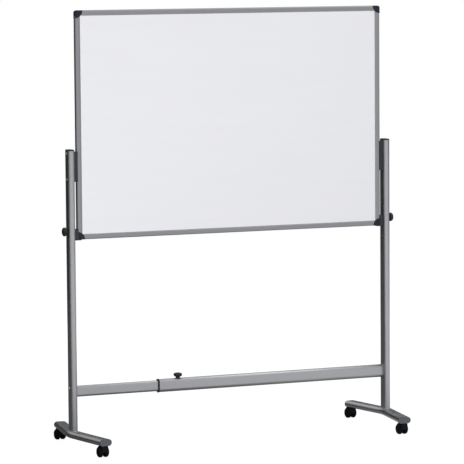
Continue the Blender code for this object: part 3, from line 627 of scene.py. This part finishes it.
welded, given, result = start_tree(
    "weld_bead", ("Bead Radius", FLOAT, 0.002), ("Ripple Pitch", FLOAT, 0.004),
    ("Ripple Height", FLOAT, 0.0002))
seam = put(welded, "GeometryNodeMeshToCurve", Mesh=given["Geometry"])
fine = put(welded, "GeometryNodeResampleCurve", Curve=seam, Count=BEAD_STEPS)
kept = put(welded, "GeometryNodeCaptureAttribute", Geometry=fine).node
kept.capture_items.new("FLOAT", "Run")
fill(welded, kept.inputs["Run"], put(welded, "GeometryNodeSplineParameter", out="Length"))
bead = put(welded, "GeometryNodeCurvePrimitiveCircle", Resolution=BEAD_SIDES, Radius=given["Bead Radius"],
           mode="RADIUS")
rope = put(welded, "GeometryNodeCurveToMesh", Curve=kept.outputs["Geometry"], Profile_Curve=bead)
turns = calc(welded, "DIVIDE", kept.outputs["Run"], given["Ripple Pitch"])
wave = calc(welded, "SINE", calc(welded, "MULTIPLY", turns, 2 * math.pi))
swell = calc(welded, "MULTIPLY", wave, given["Ripple Height"])
normal = put(welded, "GeometryNodeInputNormal")
shift = put(welded, "ShaderNodeVectorMath", normal, operation="SCALE", Scale=swell)
end_tree(welded, given, result, put(welded, "GeometryNodeSetPosition", Geometry=rope, Offset=shift))

for side, way in SIDES:
    centre = Vector((way * POST_X, MID_Y, 0))
    rings = []
    for wall, levels in ((0.0, (post_low.z, post_high.z)), (TUBE_WALL, (post_high.z, post_low.z))):
        rings += [oval_ring(TUBE_WIDTH - 2 * wall, TUBE_THICK - 2 * wall, centre + UP * z, Y_AXIS, X_AXIS)
                  for z in levels]
    post = body_of_rings(f"{side}_post_tube", rings, silver_paint, loop=True)
    holes = [(z, HEIGHT_HOLE_RADIUS) for z in HEIGHT_HOLES] + [(z, SCREW_HOLE) for z in SCREW_HEIGHTS]
    holes += [(KNOB_HEIGHT, STUD_HOLE), (BOLT_HEIGHT, STUD_HOLE)]
    drill(post, [(centre + UP * z, r) for z, r in holes], TUBE_THICK + DRILL_PAST, QUARTER, silver_paint)
    hand_over(post, f"{side}_stand", "silver_paint", f"{side}_post")
    seam = oval_ring(TUBE_WIDTH + 6 * EASE, TUBE_THICK + 6 * EASE, centre + UP * (FOOT_TOP + 4 * EASE),
                     Y_AXIS, X_AXIS)
    weld = plain_object(f"{side}_post_weld", seam, [(i, (i + 1) % len(seam)) for i in range(len(seam))])
    run_nodes(weld, welded, {"Bead Radius": BEAD_RADIUS, "Ripple Pitch": BEAD_PITCH,
                             "Ripple Height": BEAD_RIPPLE, "Finish": silver_paint}, BEAD_SMOOTH)
    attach(weld, f"{side}_stand")

# Post caps: thin black plastic plugs with a domed edge. One is pushed into the top of each
# post and covers the end of its tube.
CAP_DEPTH = 0.008
CAP_PLATE = 0.006
CAP_CROWN = 0.003
black_plastic = mottled_material(
    "black_plastic", deep=(0.0105, 0.0105, 0.0125), pale=(0.0155, 0.0155, 0.0175), rough=(0.36, 0.48),
    grain=1200.0, patch=45.0, bump=0.00004, Specular_IOR_Level=0.3)
for side, way in SIDES:
    cap = body_of_rings(f"{side}_post_top_plug", plug_rings(
        Vector((way * POST_X, MID_Y, post_high.z)), UP, Y_AXIS, X_AXIS, CAP_DEPTH, CAP_PLATE, CAP_CROWN),
        black_plastic)
    hand_over(cap, f"{side}_stand", "black_plastic", f"{side}_post_cap")

# Crossbar: an outer tube bolted to the right post and a smaller inner tube bolted to the
# left post, which slides in it. Both are flat oval steel tube in the silver paint, with a
# welded plate at the post end.
INNER_WIDTH = 0.050
INNER_THICK = 0.020
END_PLATE = 0.006
BOLT_HOLE = 0.0043
BAR_LIP = 0.0005


def bar_rings(steps):
    """Flat ovals along the crossbar: (width, thickness, distance along X)."""
    return [oval_ring(w, t, Vector((x, MID_Y, BAR_HEIGHT)), UP, Y_AXIS) for w, t, x in steps]


for body, kind, width, thick in (("right_stand", "outer", TUBE_WIDTH, TUBE_THICK),
                                 ("left_stand", "inner", INNER_WIDTH, INNER_THICK)):
    low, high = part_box(f"crossbar_{kind}_tube")
    plate, mouth = (high.x, low.x) if kind == "outer" else (low.x, high.x)
    inward = math.copysign(1, mouth - plate)
    wall = 2 * TUBE_WALL
    steps = ((wall, plate + inward * END_PLATE), (wall, mouth - inward * BAR_LIP), (wall - BAR_LIP, mouth),
             (BAR_LIP, mouth), (0.0, mouth - inward * BAR_LIP), (0.0, plate + inward * BAR_LIP),
             (BAR_LIP, plate))
    bar = body_of_rings(f"crossbar_{kind}_bar", bar_rings(
        [(width - less, thick - less, x) for less, x in steps]), silver_paint)
    drill(bar, [((plate, MID_Y, BOLT_HEIGHT), BOLT_HOLE)], 4 * END_PLATE, QUARTER, silver_paint)
    if kind == "outer":
        knob_spot = Vector((middle("crossbar_knob")[0], MID_Y, BAR_HEIGHT + TUBE_WIDTH / 2))
        drill(bar, [(knob_spot, STUD_HOLE)], 4 * TUBE_WALL, 0.0, silver_paint)
    hand_over(bar, body, "silver_paint", f"crossbar_{kind}_tube")

# Crossbar collar: a black moulded guide in the mouth of the outer tube. Its rim covers the
# end of the tube and its sleeve keeps the inner tube from rattling.
COLLAR_RIM = 0.0065
COLLAR_ROUND = 0.0012
low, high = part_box("crossbar_collar")
rim_end = low.x + COLLAR_RIM
bore_w, bore_t = INNER_WIDTH + 2 * FIT, INNER_THICK + 2 * FIT
sleeve_w, sleeve_t = TUBE_WIDTH - 2 * TUBE_WALL - 2 * FIT, TUBE_THICK - 2 * TUBE_WALL - 2 * FIT
rim_w, rim_t = high.z - low.z, high.y - low.y
steps = [(bore_w + 16 * EASE, bore_t + 16 * EASE, low.x), (bore_w, bore_t, low.x + 9 * EASE),
         (bore_w, bore_t, high.x), (sleeve_w, sleeve_t, high.x), (sleeve_w, sleeve_t, rim_end),
         (rim_w - 6 * EASE, rim_t - 6 * EASE, rim_end), (rim_w, rim_t, rim_end - 4 * EASE)]
for c, s in sweep(0, QUARTER, 6):
    less = 2 * COLLAR_ROUND * (1 - c)
    steps.append((rim_w - less, rim_t - less, low.x + COLLAR_ROUND * (1 - s)))
collar = body_of_rings("crossbar_guide_collar", bar_rings(steps), black_plastic, loop=True)
hand_over(collar, "right_stand", "black_plastic", "crossbar_collar")

# Crossbar bolts: zinc-plated button heads with a hexagon socket, one through each post into
# the welded plate of its crossbar tube.
BOLT_RADIUS = 0.004
BOLT_HEAD = 0.0065
BOLT_RISE = 0.004
BOLT_RIM = 0.0008
BOLT_SIDES = 32
SOCKET_SIZE = 0.0028
SOCKET_DEPTH = 0.0022
CUT_PAST = 0.001           # how far a cutter stands out of what it cuts
seat = TUBE_THICK + FIT


def round_head(shank, tip, head, rise, rim):
    """Profile of a shank with a domed head that sits on the post: (radius, distance)."""
    dome = sweep(0, QUARTER, 7)[1:-1]
    return [(shank, tip), (shank, seat), (head, seat), (head, seat + rim),
            *((head * c, seat + rim + (rise - rim) * s) for c, s in dome)]


bolt_model = body_of_rings("bolt_model", turned_rings(
    round_head(BOLT_RADIUS, -END_PLATE, BOLT_HEAD, BOLT_RISE, BOLT_RIM), UP, BOLT_SIDES), zinc_steel)
crown = seat + BOLT_RISE
pocket = body_of_rings("pocket", turned_rings(
    [(SOCKET_SIZE, crown - SOCKET_DEPTH), (SOCKET_SIZE, crown + CUT_PAST)], UP, 6), zinc_steel)
combine(bolt_model, pocket, "DIFFERENCE")
for side, way in SIDES:
    spot = Vector((way * POST_IN, MID_Y, BOLT_HEIGHT))
    bolt = cast(f"{side}_bar_bolt", bolt_model, spot, facing(X_AXIS * way))
    hand_over(bolt, f"{side}_stand", "zinc_steel", f"{side}_crossbar_bolt")
bpy.data.objects.remove(bolt_model)

# Upper brackets: long grooved blocks of dark grey plastic on the inner side of each post.
# The edge of the board stands in the groove, and two screws through the post hold the block.
EDGE_BREAK = 0.0007
EDGE_SHARP = 40
BOARD_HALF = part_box("frame_right")[1].x
LIP_OVER = 0.0035
LIP_THICK = 0.0022
PILOT_LONG = 0.0186        # the drill for the screws, half of it in the block
bracket_plastic = mottled_material(
    "bracket_plastic", deep=(0.032, 0.034, 0.039), pale=(0.041, 0.043, 0.049), rough=(0.48, 0.60),
    grain=1300.0, patch=35.0, bump=0.00004, Specular_IOR_Level=0.15)
low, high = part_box("right_upper_bracket")
LIP_OUT = (high.y - low.y) / 2
LIP_IN = LIP_OUT - LIP_THICK
LIP_END = BOARD_HALF - LIP_OVER
GROOVE = BOARD_HALF + FIT
BLOCK_OUT = high.x


def break_edges(obj):
    """Round off the edges of a moulded block."""
    step = obj.modifiers.new("edges", "BEVEL")
    step.width = EDGE_BREAK
    step.segments = 3
    step.limit_method = "ANGLE"
    step.angle_limit = math.radians(EDGE_SHARP)
    settle(obj, EDGE_SHARP)


def upright_rings(way, outline, levels):
    """An outline seen from above, on the left or right side, at heights."""
    return [[Vector((way * a, MID_Y + b, z)) for a, b in outline] for z in levels]


groove_outline = [
    (BLOCK_OUT, -LIP_OUT), (BLOCK_OUT, LIP_OUT), (LIP_END, LIP_OUT), (LIP_END, LIP_IN), (GROOVE, LIP_IN),
    (GROOVE, -LIP_IN), (LIP_END, -LIP_IN), (LIP_END, -LIP_OUT)]
for side, way in SIDES:
    low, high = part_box(f"{side}_upper_bracket")
    block = body_of_rings(
        f"{side}_edge_bracket", upright_rings(way, groove_outline, (low.z, high.z)), bracket_plastic)
    break_edges(block)
    drill(block, [((way * POST_IN, MID_Y, z), SCREW_HOLE) for z in SCREW_HEIGHTS], PILOT_LONG, QUARTER,
          bracket_plastic, EDGE_SHARP)
    hand_over(block, f"{side}_stand", "bracket_plastic", f"{side}_upper_bracket")

# Bracket screws: zinc-plated pan heads with a cross recess, through the post into the
# upper bracket.
SCREW_RADIUS = 0.0025
SCREW_HEAD = 0.005
SCREW_RISE = 0.003
SCREW_RIM = 0.0006
SCREW_SIDES = 28
SCREW_BITE = 0.009
CROSS_LONG = 0.0030
CROSS_WIDE = 0.0009
CROSS_DEPTH = 0.0016
SCREW_SEED = 11
screw_model = body_of_rings("screw_model", turned_rings(
    round_head(SCREW_RADIUS, -SCREW_BITE, SCREW_HEAD, SCREW_RISE, SCREW_RIM), X_AXIS, SCREW_SIDES),
    zinc_steel)
crown = seat + SCREW_RISE
for a, b in ((CROSS_LONG, CROSS_WIDE), (CROSS_WIDE, CROSS_LONG)):
    slot_cut = body_of_rings("slot_cut", across_rings(
        [[(-a, -b), (a, -b), (a, b), (-a, b)]] * 2, (crown - CROSS_DEPTH, crown + CUT_PAST)), zinc_steel)
    combine(screw_model, slot_cut, "DIFFERENCE")

screwed, given, result = start_tree(
    "screws_at_points", ("Screw", OBJECT, None), ("Facing", FLOAT, 0.0), ("Seed", INTEGER, 7))
model = put(screwed, "GeometryNodeObjectInfo", Object=given["Screw"], out="Geometry")
spin = put(screwed, "FunctionNodeRandomValue", None, None, None, math.pi, Seed=given["Seed"],
           data_type="FLOAT", out=1)
tilt = put(screwed, "ShaderNodeCombineXYZ", X=spin, Z=given["Facing"])
end_tree(screwed, given, result, put(
    screwed, "GeometryNodeInstanceOnPoints", Points=given["Geometry"], Instance=model, Rotation=tilt))

for side, way in SIDES:
    screws = plain_object(f"{side}_bracket_screws", [(way * POST_IN, MID_Y, z) for z in SCREW_HEIGHTS])
    run_nodes(screws, screwed, {"Screw": screw_model, "Facing": 0.0 if way > 0 else math.pi,
                                "Seed": SCREW_SEED + way, "Finish": zinc_steel})
    hand_over(screws, f"{side}_stand", "zinc_steel", f"{side}_bracket_screw_top", f"{side}_bracket_screw_low")
bpy.data.objects.remove(screw_model)

# Lower brackets: short shoes of the same plastic with the same groove. A plate under the
# edge of the board carries its weight, and the stud of a clamp knob holds the shoe.
SHOE_PLATE = 0.0025
STUD_LONG = 0.0206         # the drill for the stud, half of it in the shoe
for side, way in SIDES:
    low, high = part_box(f"{side}_lower_bracket")
    shoe_in = min(abs(low.x), abs(high.x))
    clear = 2 * LIP_OUT
    block = [(shoe_in, -LIP_OUT), (BLOCK_OUT, -LIP_OUT), (BLOCK_OUT, LIP_OUT), (shoe_in, LIP_OUT)]
    room = [(shoe_in - clear, -clear), (LIP_END, -clear), (LIP_END, -LIP_IN), (GROOVE, -LIP_IN),
            (GROOVE, LIP_IN), (LIP_END, LIP_IN), (LIP_END, clear), (shoe_in - clear, clear)]
    shoe = body_of_rings(f"{side}_board_shoe", upright_rings(way, block, (low.z, high.z)), bracket_plastic)
    combine(shoe, body_of_rings("board_room", upright_rings(
        way, room, (low.z + SHOE_PLATE, high.z + clear)), bracket_plastic), "DIFFERENCE")
    break_edges(shoe)
    drill(shoe, [((way * POST_IN, MID_Y, KNOB_HEIGHT), STUD_HOLE)], STUD_LONG, QUARTER, bracket_plastic,
          EDGE_SHARP)
    hand_over(shoe, f"{side}_stand", "bracket_plastic", f"{side}_lower_bracket")

# Clamp knobs: black mushroom knobs with a lobed edge, moulded on a threaded stud. Two hold
# the lower brackets through the posts and one clamps the crossbar.
KNOB_RADIUS = 0.0205
KNOB_SIDES = 96
LOBES = 8
LOBE_DEPTH = 0.0013
PLAIN_RADIUS = 0.012       # inside this the knob has no lobes
STUD_RADIUS = 0.004
STUD_TIP = -0.010
KNOB_PROFILE = (           # neck, tapered underside, rim and crowned top: (radius, rise)
    (0.0096, 0.0), (0.0100, 0.0004), (0.0092, 0.003), (0.0100, 0.0045), (0.0125, 0.0056), (0.0160, 0.0068),
    (0.0184, 0.0086), (0.0199, 0.0112), (KNOB_RADIUS, 0.0140), (0.0203, 0.0165), (0.0195, 0.0188),
    (0.0179, 0.0206), (0.0154, 0.0219), (0.0122, 0.0227), (0.0118, 0.0223), (0.0112, 0.0224),
    (0.0108, 0.0230), (0.0070, 0.0234), (0.0030, 0.0235))

lobed, given, result = start_tree(
    "lobed_grip", ("Lobes", INTEGER, 8), ("Lobe Depth", FLOAT, 0.001), ("Plain Radius", FLOAT, 0.012),
    ("Grip Radius", FLOAT, 0.02))
axes = put(lobed, "ShaderNodeSeparateXYZ", put(lobed, "GeometryNodeInputPosition")).node.outputs
flat = put(lobed, "ShaderNodeCombineXYZ", axes["X"], axes["Y"])
reach = put(lobed, "ShaderNodeVectorMath", flat, operation="LENGTH", out="Value")
count = calc(lobed, "MULTIPLY", calc(lobed, "ARCTAN2", axes["Y"], axes["X"]), given["Lobes"])
hollow = put(lobed, "ShaderNodeMapRange", Value=calc(lobed, "COSINE", count), From_Min=-1.0, From_Max=1.0,
             To_Min=1.0, To_Max=0.0)
share = put(lobed, "ShaderNodeMapRange", Value=reach, From_Min=given["Plain Radius"],
            From_Max=given["Grip Radius"], interpolation_type="SMOOTHSTEP")
depth = calc(lobed, "MULTIPLY", calc(lobed, "MULTIPLY", hollow, share), given["Lobe Depth"])
outward = put(lobed, "ShaderNodeVectorMath", flat, operation="NORMALIZE")
drawn_in = calc(lobed, "MULTIPLY", depth, -1.0)
shift = put(lobed, "ShaderNodeVectorMath", outward, operation="SCALE", Scale=drawn_in)
end_tree(lobed, given, result, put(
    lobed, "GeometryNodeSetPosition", Geometry=given["Geometry"], Offset=shift))


def clamp_knob(name, place, axis, stud_tip, knob_seat, body, node):
    """One clamp knob on its stud, at its place along an axis."""
    taper = 6 * EASE
    profile = [(STUD_RADIUS - taper, stud_tip), (STUD_RADIUS, stud_tip + taper), (STUD_RADIUS, knob_seat)]
    profile += [(radius, knob_seat + rise) for radius, rise in KNOB_PROFILE]
    knob = body_of_rings(name, turned_rings(profile, UP, KNOB_SIDES), black_plastic)
    run_nodes(knob, lobed, {"Lobes": LOBES, "Lobe Depth": LOBE_DEPTH, "Plain Radius": PLAIN_RADIUS,
                            "Grip Radius": KNOB_RADIUS, "Finish": black_plastic})
    knob.data.transform(Matrix.Translation(place) @ facing(axis))
    hand_over(knob, body, "black_plastic", node)


for side, way in SIDES:
    clamp_knob(f"{side}_clamp_knob", Vector((way * POST_IN, MID_Y, KNOB_HEIGHT)), X_AXIS * way, STUD_TIP,
               seat, f"{side}_knob", f"{side}_bracket_knob")
clamp_knob("crossbar_clamp_knob", knob_spot, UP, INNER_WIDTH / 2 + FIT - TUBE_WIDTH / 2, FIT,
           "bar_knob", "crossbar_knob")

# Board panel: a sheet of white enamelled steel for writing on, glued to a fibre core with a
# grey backing foil. The sheet carries the faint smears of the wiping cloth.
WIPE_ANGLE = math.radians(24)
WIPE_STRETCH = (1.6, 1.0, 14.0)
SMEAR_SCALE = 1.4
WAVE_SCALE = 55.0
WAVE_HEIGHT = 0.00002
ENAMEL = (0.822, 0.825, 0.857, 1), (0.832, 0.835, 0.866, 1)
ENAMEL_ROUGH = 0.13, 0.21
enamel, tree, shader = plain_material("white_enamel")
place = put(tree, "ShaderNodeTexCoord", out="Object")
wiped = put(tree, "ShaderNodeMapping", Vector=place, Rotation=(0, WIPE_ANGLE, 0), Scale=WIPE_STRETCH)
smear = noise(tree, wiped, SMEAR_SCALE, detail=5.0, low=0.35, high=0.7)
waves = put(tree, "ShaderNodeTexNoise", Vector=place, Scale=WAVE_SCALE, Detail=1.0)
dress(tree, shader, Base_Color=mix_colours(tree, smear, *ENAMEL),
      Roughness=put(tree, "ShaderNodeMapRange", Value=smear, To_Min=ENAMEL_ROUGH[0], To_Max=ENAMEL_ROUGH[1]),
      Normal=put(tree, "ShaderNodeBump", Strength=1.0, Distance=WAVE_HEIGHT, Height=waves))
backing_foil = mottled_material(
    "backing_foil", deep=(0.42, 0.42, 0.43), pale=(0.47, 0.47, 0.48), rough=(0.5, 0.64),
    grain=420.0, patch=5.0, bump=0.00005)
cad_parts["writing_sheet"].data.materials[0] = enamel
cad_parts["core_panel"].data.materials[0] = backing_foil

# Board frame: four lengths of extruded aluminium, silver anodised, with a rounded outer
# edge, a flat band and a sloping inner lip. The panel stands in the groove behind the lip.
FRAME_FACE = 0.024
FRAME_ROUND = 0.006
FRAME_FLAT_END = 0.015
FRAME_LIP = 0.001
FRAME_WALL = 0.004
FRAME_SHARP = 24
REAR_LIP = 0.018
REAR_CHAMFER = 0.003
SLOPE_STEPS = 8
SLOPE_CURVE = 1.5
ANODISED = (0.238, 0.244, 0.258, 1), (0.271, 0.277, 0.291, 1)
ANODISED_ROUGH = 0.34, 0.44
DRAWN_ALONG, DRAWN_ACROSS = 5.0, 1400.0
DRAWN_HEIGHT = 0.000012
low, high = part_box("frame_top")
HALF_DEPTH = (high.y - low.y) / 2
BOARD_TOP = high.z
BOARD_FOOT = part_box("frame_bottom")[0].z
GROOVE_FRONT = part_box("writing_sheet")[0].y - MID_Y - FIT
GROOVE_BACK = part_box("core_panel")[1].y - MID_Y + FIT


def anodised(name, stretch):
    """Anodised aluminium with fine lines drawn along the length of the extrusion."""
    material, tree, shader = plain_material(name)
    place = put(tree, "ShaderNodeTexCoord", out="Object")
    drawn = put(tree, "ShaderNodeMapping", Vector=place, Scale=stretch)
    lines = noise(tree, drawn, 1.0, detail=4.0, low=0.3, high=0.7)
    dress(tree, shader, Base_Color=mix_colours(tree, lines, *ANODISED),
          Roughness=put(tree, "ShaderNodeMapRange", Value=lines, To_Min=ANODISED_ROUGH[0],
                        To_Max=ANODISED_ROUGH[1]),
          Normal=put(tree, "ShaderNodeBump", Strength=1.0, Distance=DRAWN_HEIGHT, Height=lines),
          Metallic=0.75, Specular_IOR_Level=0.15)
    return material


anodised_level = anodised("anodised_level", (DRAWN_ALONG, DRAWN_ACROSS, DRAWN_ACROSS))
anodised_upright = anodised("anodised_upright", (DRAWN_ACROSS, DRAWN_ACROSS, DRAWN_ALONG))


def frame_section():
    """Section of the extrusion: (in from the outer edge, depth from the middle of the board)."""
    front, back = -HALF_DEPTH, HALF_DEPTH
    drop = GROOVE_FRONT - FRAME_LIP - front
    flat, ledge = FRAME_FLAT_END, 6 * EASE
    points = [(FRAME_ROUND * (1 - s), front + FRAME_ROUND * (1 - c)) for c, s in sweep(QUARTER, 0, 10)]
    points += [(FRAME_ROUND + 5 * EASE, front), (flat - 5 * EASE, front), (flat - EASE, front + EASE),
               (flat + EASE, front + ledge), (flat + 5 * EASE, front + ledge)]
    for i in range(1, SLOPE_STEPS + 1):
        share = i / SLOPE_STEPS
        points.append((flat + 5 * EASE + (FRAME_FACE - flat - 8 * EASE) * share,
                       front + ledge + (drop - ledge) * share ** SLOPE_CURVE))
    points += [(FRAME_FACE, GROOVE_FRONT - FRAME_LIP + 4 * EASE), (FRAME_FACE, GROOVE_FRONT - 2 * EASE),
               (FRAME_FACE - 2 * EASE, GROOVE_FRONT), (FRAME_WALL, GROOVE_FRONT), (FRAME_WALL, GROOVE_BACK),
               (REAR_LIP - 3 * EASE, GROOVE_BACK), (REAR_LIP, GROOVE_BACK + 3 * EASE),
               (REAR_LIP, back - 5 * EASE), (REAR_LIP - 5 * EASE, back), (REAR_CHAMFER + 5 * EASE, back)]
    return points + [(REAR_CHAMFER * (1 - s), back - REAR_CHAMFER * (1 - c))
                     for c, s in sweep(0, QUARTER, 5)[1:]]


half_long = BOARD_HALF - FRAME_FACE - FIT
half_high = (BOARD_TOP - BOARD_FOOT) / 2 - FRAME_FACE - FIT
board_mid = (BOARD_TOP + BOARD_FOOT) / 2
for name, half, material, spread in (
        ("top", half_long, anodised_level, lambda u, v, t: (t, MID_Y + v, BOARD_TOP - u)),
        ("bottom", half_long, anodised_level, lambda u, v, t: (t, MID_Y + v, BOARD_FOOT + u)),
        ("left", half_high, anodised_upright, lambda u, v, t: (u - BOARD_HALF, MID_Y + v, board_mid + t)),
        ("right", half_high, anodised_upright, lambda u, v, t: (BOARD_HALF - u, MID_Y + v, board_mid + t))):
    rail = body_of_rings(f"{name}_frame_rail", [
        [spread(u, v, t) for u, v in frame_section()] for t in (-half, half)], material, sharp=FRAME_SHARP)
    hand_over(rail, "board", "anodised_frame", f"frame_{name}")

# Corner covers: dark blue-grey mouldings pushed over the ends of the frame rails. Each is a
# quarter disc in front and behind, with bevelled edges, joined round the board's corner.
CORNER_REACH = 0.035
CORNER_ROUND = 0.011
CORNER_GAP = 0.0003
CORNER_SHARP = 28
CORNER_BEVEL = ((0.0020, 0.0), (0.0012, 0.00012), (0.0005, 0.0005), (0.0001, 0.0010), (0.0, 0.0014))
low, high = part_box("top_left_corner")
COVER_OUT = (high.y - low.y) / 2
COVER_IN = HALF_DEPTH + CORNER_GAP
corner_plastic = mottled_material(
    "corner_plastic", deep=(0.018, 0.022, 0.032), pale=(0.024, 0.028, 0.039), rough=(0.50, 0.62),
    grain=1100.0, patch=60.0, bump=0.00004, Specular_IOR_Level=0.08)


def cover_outline(inset):
    """Front view of a cover, drawn in by inset: (in from the side edge, in from the top or foot)."""
    reach = CORNER_REACH - inset
    radius = CORNER_ROUND - inset
    start = math.asin(inset / reach)
    points = [(reach * c, reach * s) for c, s in sweep(start, QUARTER - start, 24)]
    return points + [(CORNER_ROUND + radius * c, CORNER_ROUND + radius * s)
                     for c, s in sweep(math.pi, 3 * QUARTER, 12)]


def corner_rings(way, edge, up, outlines):
    """Front views set at depths in a corner of the board."""
    return [[Vector((way * (BOARD_HALF - u), MID_Y + v, edge + up * w)) for u, w in outline]
            for outline, v in outlines]


far = 2 * CORNER_REACH
rail_room = [(FRAME_FACE, -far), (far, -far), (far, far), (-far, far), (-far, FRAME_FACE),
             (FRAME_FACE, FRAME_FACE)]
panel_room = [(FRAME_WALL, FRAME_WALL), (far, FRAME_WALL), (far, far), (FRAME_WALL, far)]
cover_steps = [(cover_outline(inset), depth - COVER_OUT) for inset, depth in CORNER_BEVEL]
cover_steps += [(cover_outline(inset), COVER_OUT - depth) for inset, depth in CORNER_BEVEL[::-1]]
for side, way in SIDES:
    for level, edge, up in (("bottom", BOARD_FOOT, 1), ("top", BOARD_TOP, -1)):
        name = f"{level}_{side}_corner"
        cover = body_of_rings(
            f"{name}_cover", corner_rings(way, edge, up, cover_steps), corner_plastic, sharp=CORNER_SHARP)
        for room, depth in ((rail_room, (-COVER_IN, COVER_IN)), (panel_room, (GROOVE_FRONT, GROOVE_BACK))):
            cutter = body_of_rings(
                "cover_room", corner_rings(way, edge, up, [(room, v) for v in depth]), corner_plastic)
            combine(cover, cutter, "DIFFERENCE")
        soften(cover, CORNER_SHARP)
        hand_over(cover, "board", "corner_plastic", name)

# Studio: a plain white floor with soft boxes in front, above, to the right and behind. Floor and
# horizon are white to the camera and in reflections, and the floor keeps the object's shadow. Low
# dark walls far behind and beside the object show in reflections only. In reflections the floor
# also carries painted shade: around a spot behind the object it is dimmed, standing in for the
# object's own shade there.
WHITE = (1, 1, 1, 1)
AMBIENT = 0.03
FLOOR_SIZE = 60.0
FLOOR_GREY = (0.18, 0.18, 0.18, 1)
FLOOR_GLOW = 0.95          # white of the floor beside the object, before any light
GLOW_NEAR = 1.6            # the floor turns plain white from this distance
GLOW_FAR = 4.0             # to this one
SHADE_GLOW = 0.06          # painted shade: the floor as seen in reflections, dimmed to this around a spot behind
SHADE_NEAR = 3.6
SHADE_FAR = 5.6
SHADE_SPOT = (-1.6, 3.6, 0.0)
MATT = 0.9
WALL_DARK = (0.012, 0.012, 0.012, 1)
WALL_FOOT = 0.01
WALL_TOP = 2.7


def ray_masks(tree):
    """1 for rays from the camera, and 1 for rays that show up in a reflection or through glass."""
    path = put(tree, "ShaderNodeLightPath").node.outputs
    return path["Is Camera Ray"], calc(tree, "MAXIMUM", path["Is Glossy Ray"], path["Is Transmission Ray"])


floor_paint, tree, shader = plain_material("studio_floor")
dress(tree, shader, Base_Color=FLOOR_GREY, Roughness=MATT, Specular_IOR_Level=0.0)
place = put(tree, "ShaderNodeTexCoord", out="Object")
seen, mirrored = ray_masks(tree)
levels = []
# The second level is painted shade: in reflections the floor is dimmed around SHADE_SPOT.
for mask, spot, near, far, least in ((seen, (0, 0, 0), GLOW_NEAR, GLOW_FAR, FLOOR_GLOW),
                                     (mirrored, SHADE_SPOT, SHADE_NEAR, SHADE_FAR, SHADE_GLOW)):
    away = put(tree, "ShaderNodeVectorMath", place, spot, operation="DISTANCE", out="Value")
    levels.append(calc(tree, "MULTIPLY", mask, put(
        tree, "ShaderNodeMapRange", Value=away, From_Min=near, From_Max=far, To_Min=least, To_Max=1.0,
        interpolation_type="SMOOTHSTEP")))
glow = put(tree, "ShaderNodeEmission", Color=WHITE, Strength=calc(tree, "MAXIMUM", *levels))
dress(tree, tree.nodes["Material Output"], Surface=put(
    tree, "ShaderNodeAddShader", shader.outputs["BSDF"], glow))
floor = plain_object("studio_floor", [(x * FLOOR_SIZE, y * FLOOR_SIZE, 0) for x, y in (
    (-1, -1), (1, -1), (1, 1), (-1, 1))], faces=[(0, 1, 2, 3)])
floor.data.materials.append(floor_paint)

world = bpy.data.worlds.new("studio")
world.use_nodes = True
bpy.context.scene.world = world
tree = world.node_tree
ambient = tree.nodes["Background"]
dress(tree, ambient, Color=WHITE, Strength=AMBIENT)
white = put(tree, "ShaderNodeBackground", Color=WHITE, Strength=1.0)
shown = calc(tree, "MAXIMUM", *ray_masks(tree))
dress(tree, tree.nodes["World Output"], Surface=put(
    tree, "ShaderNodeMixShader", shown, ambient.outputs["Background"], white))

wall_paint, tree, shader = plain_material("studio_wall")
dress(tree, shader, Base_Color=WALL_DARK, Roughness=MATT)
for name, start, stop in (("rear_wall", (-9, 6), (9, 6)), ("left_wall", (-9, -2), (-9, 6)),
                          ("right_wall", (9, -5), (9, 6))):
    corners = [(*start, WALL_FOOT), (*stop, WALL_FOOT), (*stop, WALL_TOP), (*start, WALL_TOP)]
    wall = plain_object(name, corners, faces=[(0, 1, 2, 3)])
    wall.data.materials.append(wall_paint)
    wall.visible_camera = False
    wall.visible_shadow = False


def soft_light(name, place, target, width, height, power, mirrored):
    """A soft box: a rectangular area light, turned to its target and not seen by the camera."""
    lamp = bpy.data.lights.new(name, "AREA")
    lamp.shape = "RECTANGLE"
    lamp.size = width
    lamp.size_y = height
    lamp.energy = power
    obj = add_object(name, lamp)
    obj.location = place
    obj.rotation_euler = (Vector(target) - Vector(place)).to_track_quat("-Z", "Y").to_euler()
    obj.visible_camera = False
    obj.visible_glossy = mirrored


soft_light("front_softbox", place=(-0.6, -5.0, 1.3), target=(0.0, 0.0, 1.0),
           width=4.6, height=2.4, power=238.0, mirrored=False)
soft_light("high_softbox", place=(1.8, -1.2, 4.2), target=(0.0, 0.0, 0.5),
           width=4.0, height=3.0, power=45.0, mirrored=True)
soft_light("side_softbox", place=(3.6, 1.6, 1.6), target=(0.0, 0.0, 1.0),
           width=3.2, height=3.0, power=40.0, mirrored=False)
soft_light("rear_softbox", place=(0.3, 4.4, 1.5), target=(0.0, 0.0, 1.2),
           width=4.0, height=2.2, power=85.0, mirrored=False)

# Camera: a long lens in front of the board, to its left and a little above its middle, turned
# to it and rolled a trace.
CAMERA_PLACE = (-5.4894, -12.7485 + MID_Y, 2.2337)
CAMERA_TURN = math.radians(23.310)
CAMERA_PITCH = math.radians(5.3045)
CAMERA_ROLL = math.radians(-0.4379)
CAMERA_LENS = 237.32
forward = Vector((math.sin(CAMERA_TURN) * math.cos(CAMERA_PITCH),
                  math.cos(CAMERA_TURN) * math.cos(CAMERA_PITCH), -math.sin(CAMERA_PITCH)))
level = Vector((math.cos(CAMERA_TURN), -math.sin(CAMERA_TURN), 0))
upward = level.cross(forward)
right = level * math.cos(CAMERA_ROLL) + upward * math.sin(CAMERA_ROLL)
top = upward * math.cos(CAMERA_ROLL) - level * math.sin(CAMERA_ROLL)
lens = bpy.data.cameras.new("photo_camera")
lens.sensor_fit = "HORIZONTAL"
lens.sensor_width = 36.0
lens.lens = CAMERA_LENS
lens.clip_end = 200.0
camera = add_object("photo_camera", lens)
camera.matrix_world = Matrix((right, top, -forward)).transposed().to_4x4()
camera.location = CAMERA_PLACE
bpy.context.scene.camera = camera
bpy.context.scene.view_settings.view_transform = "Standard"
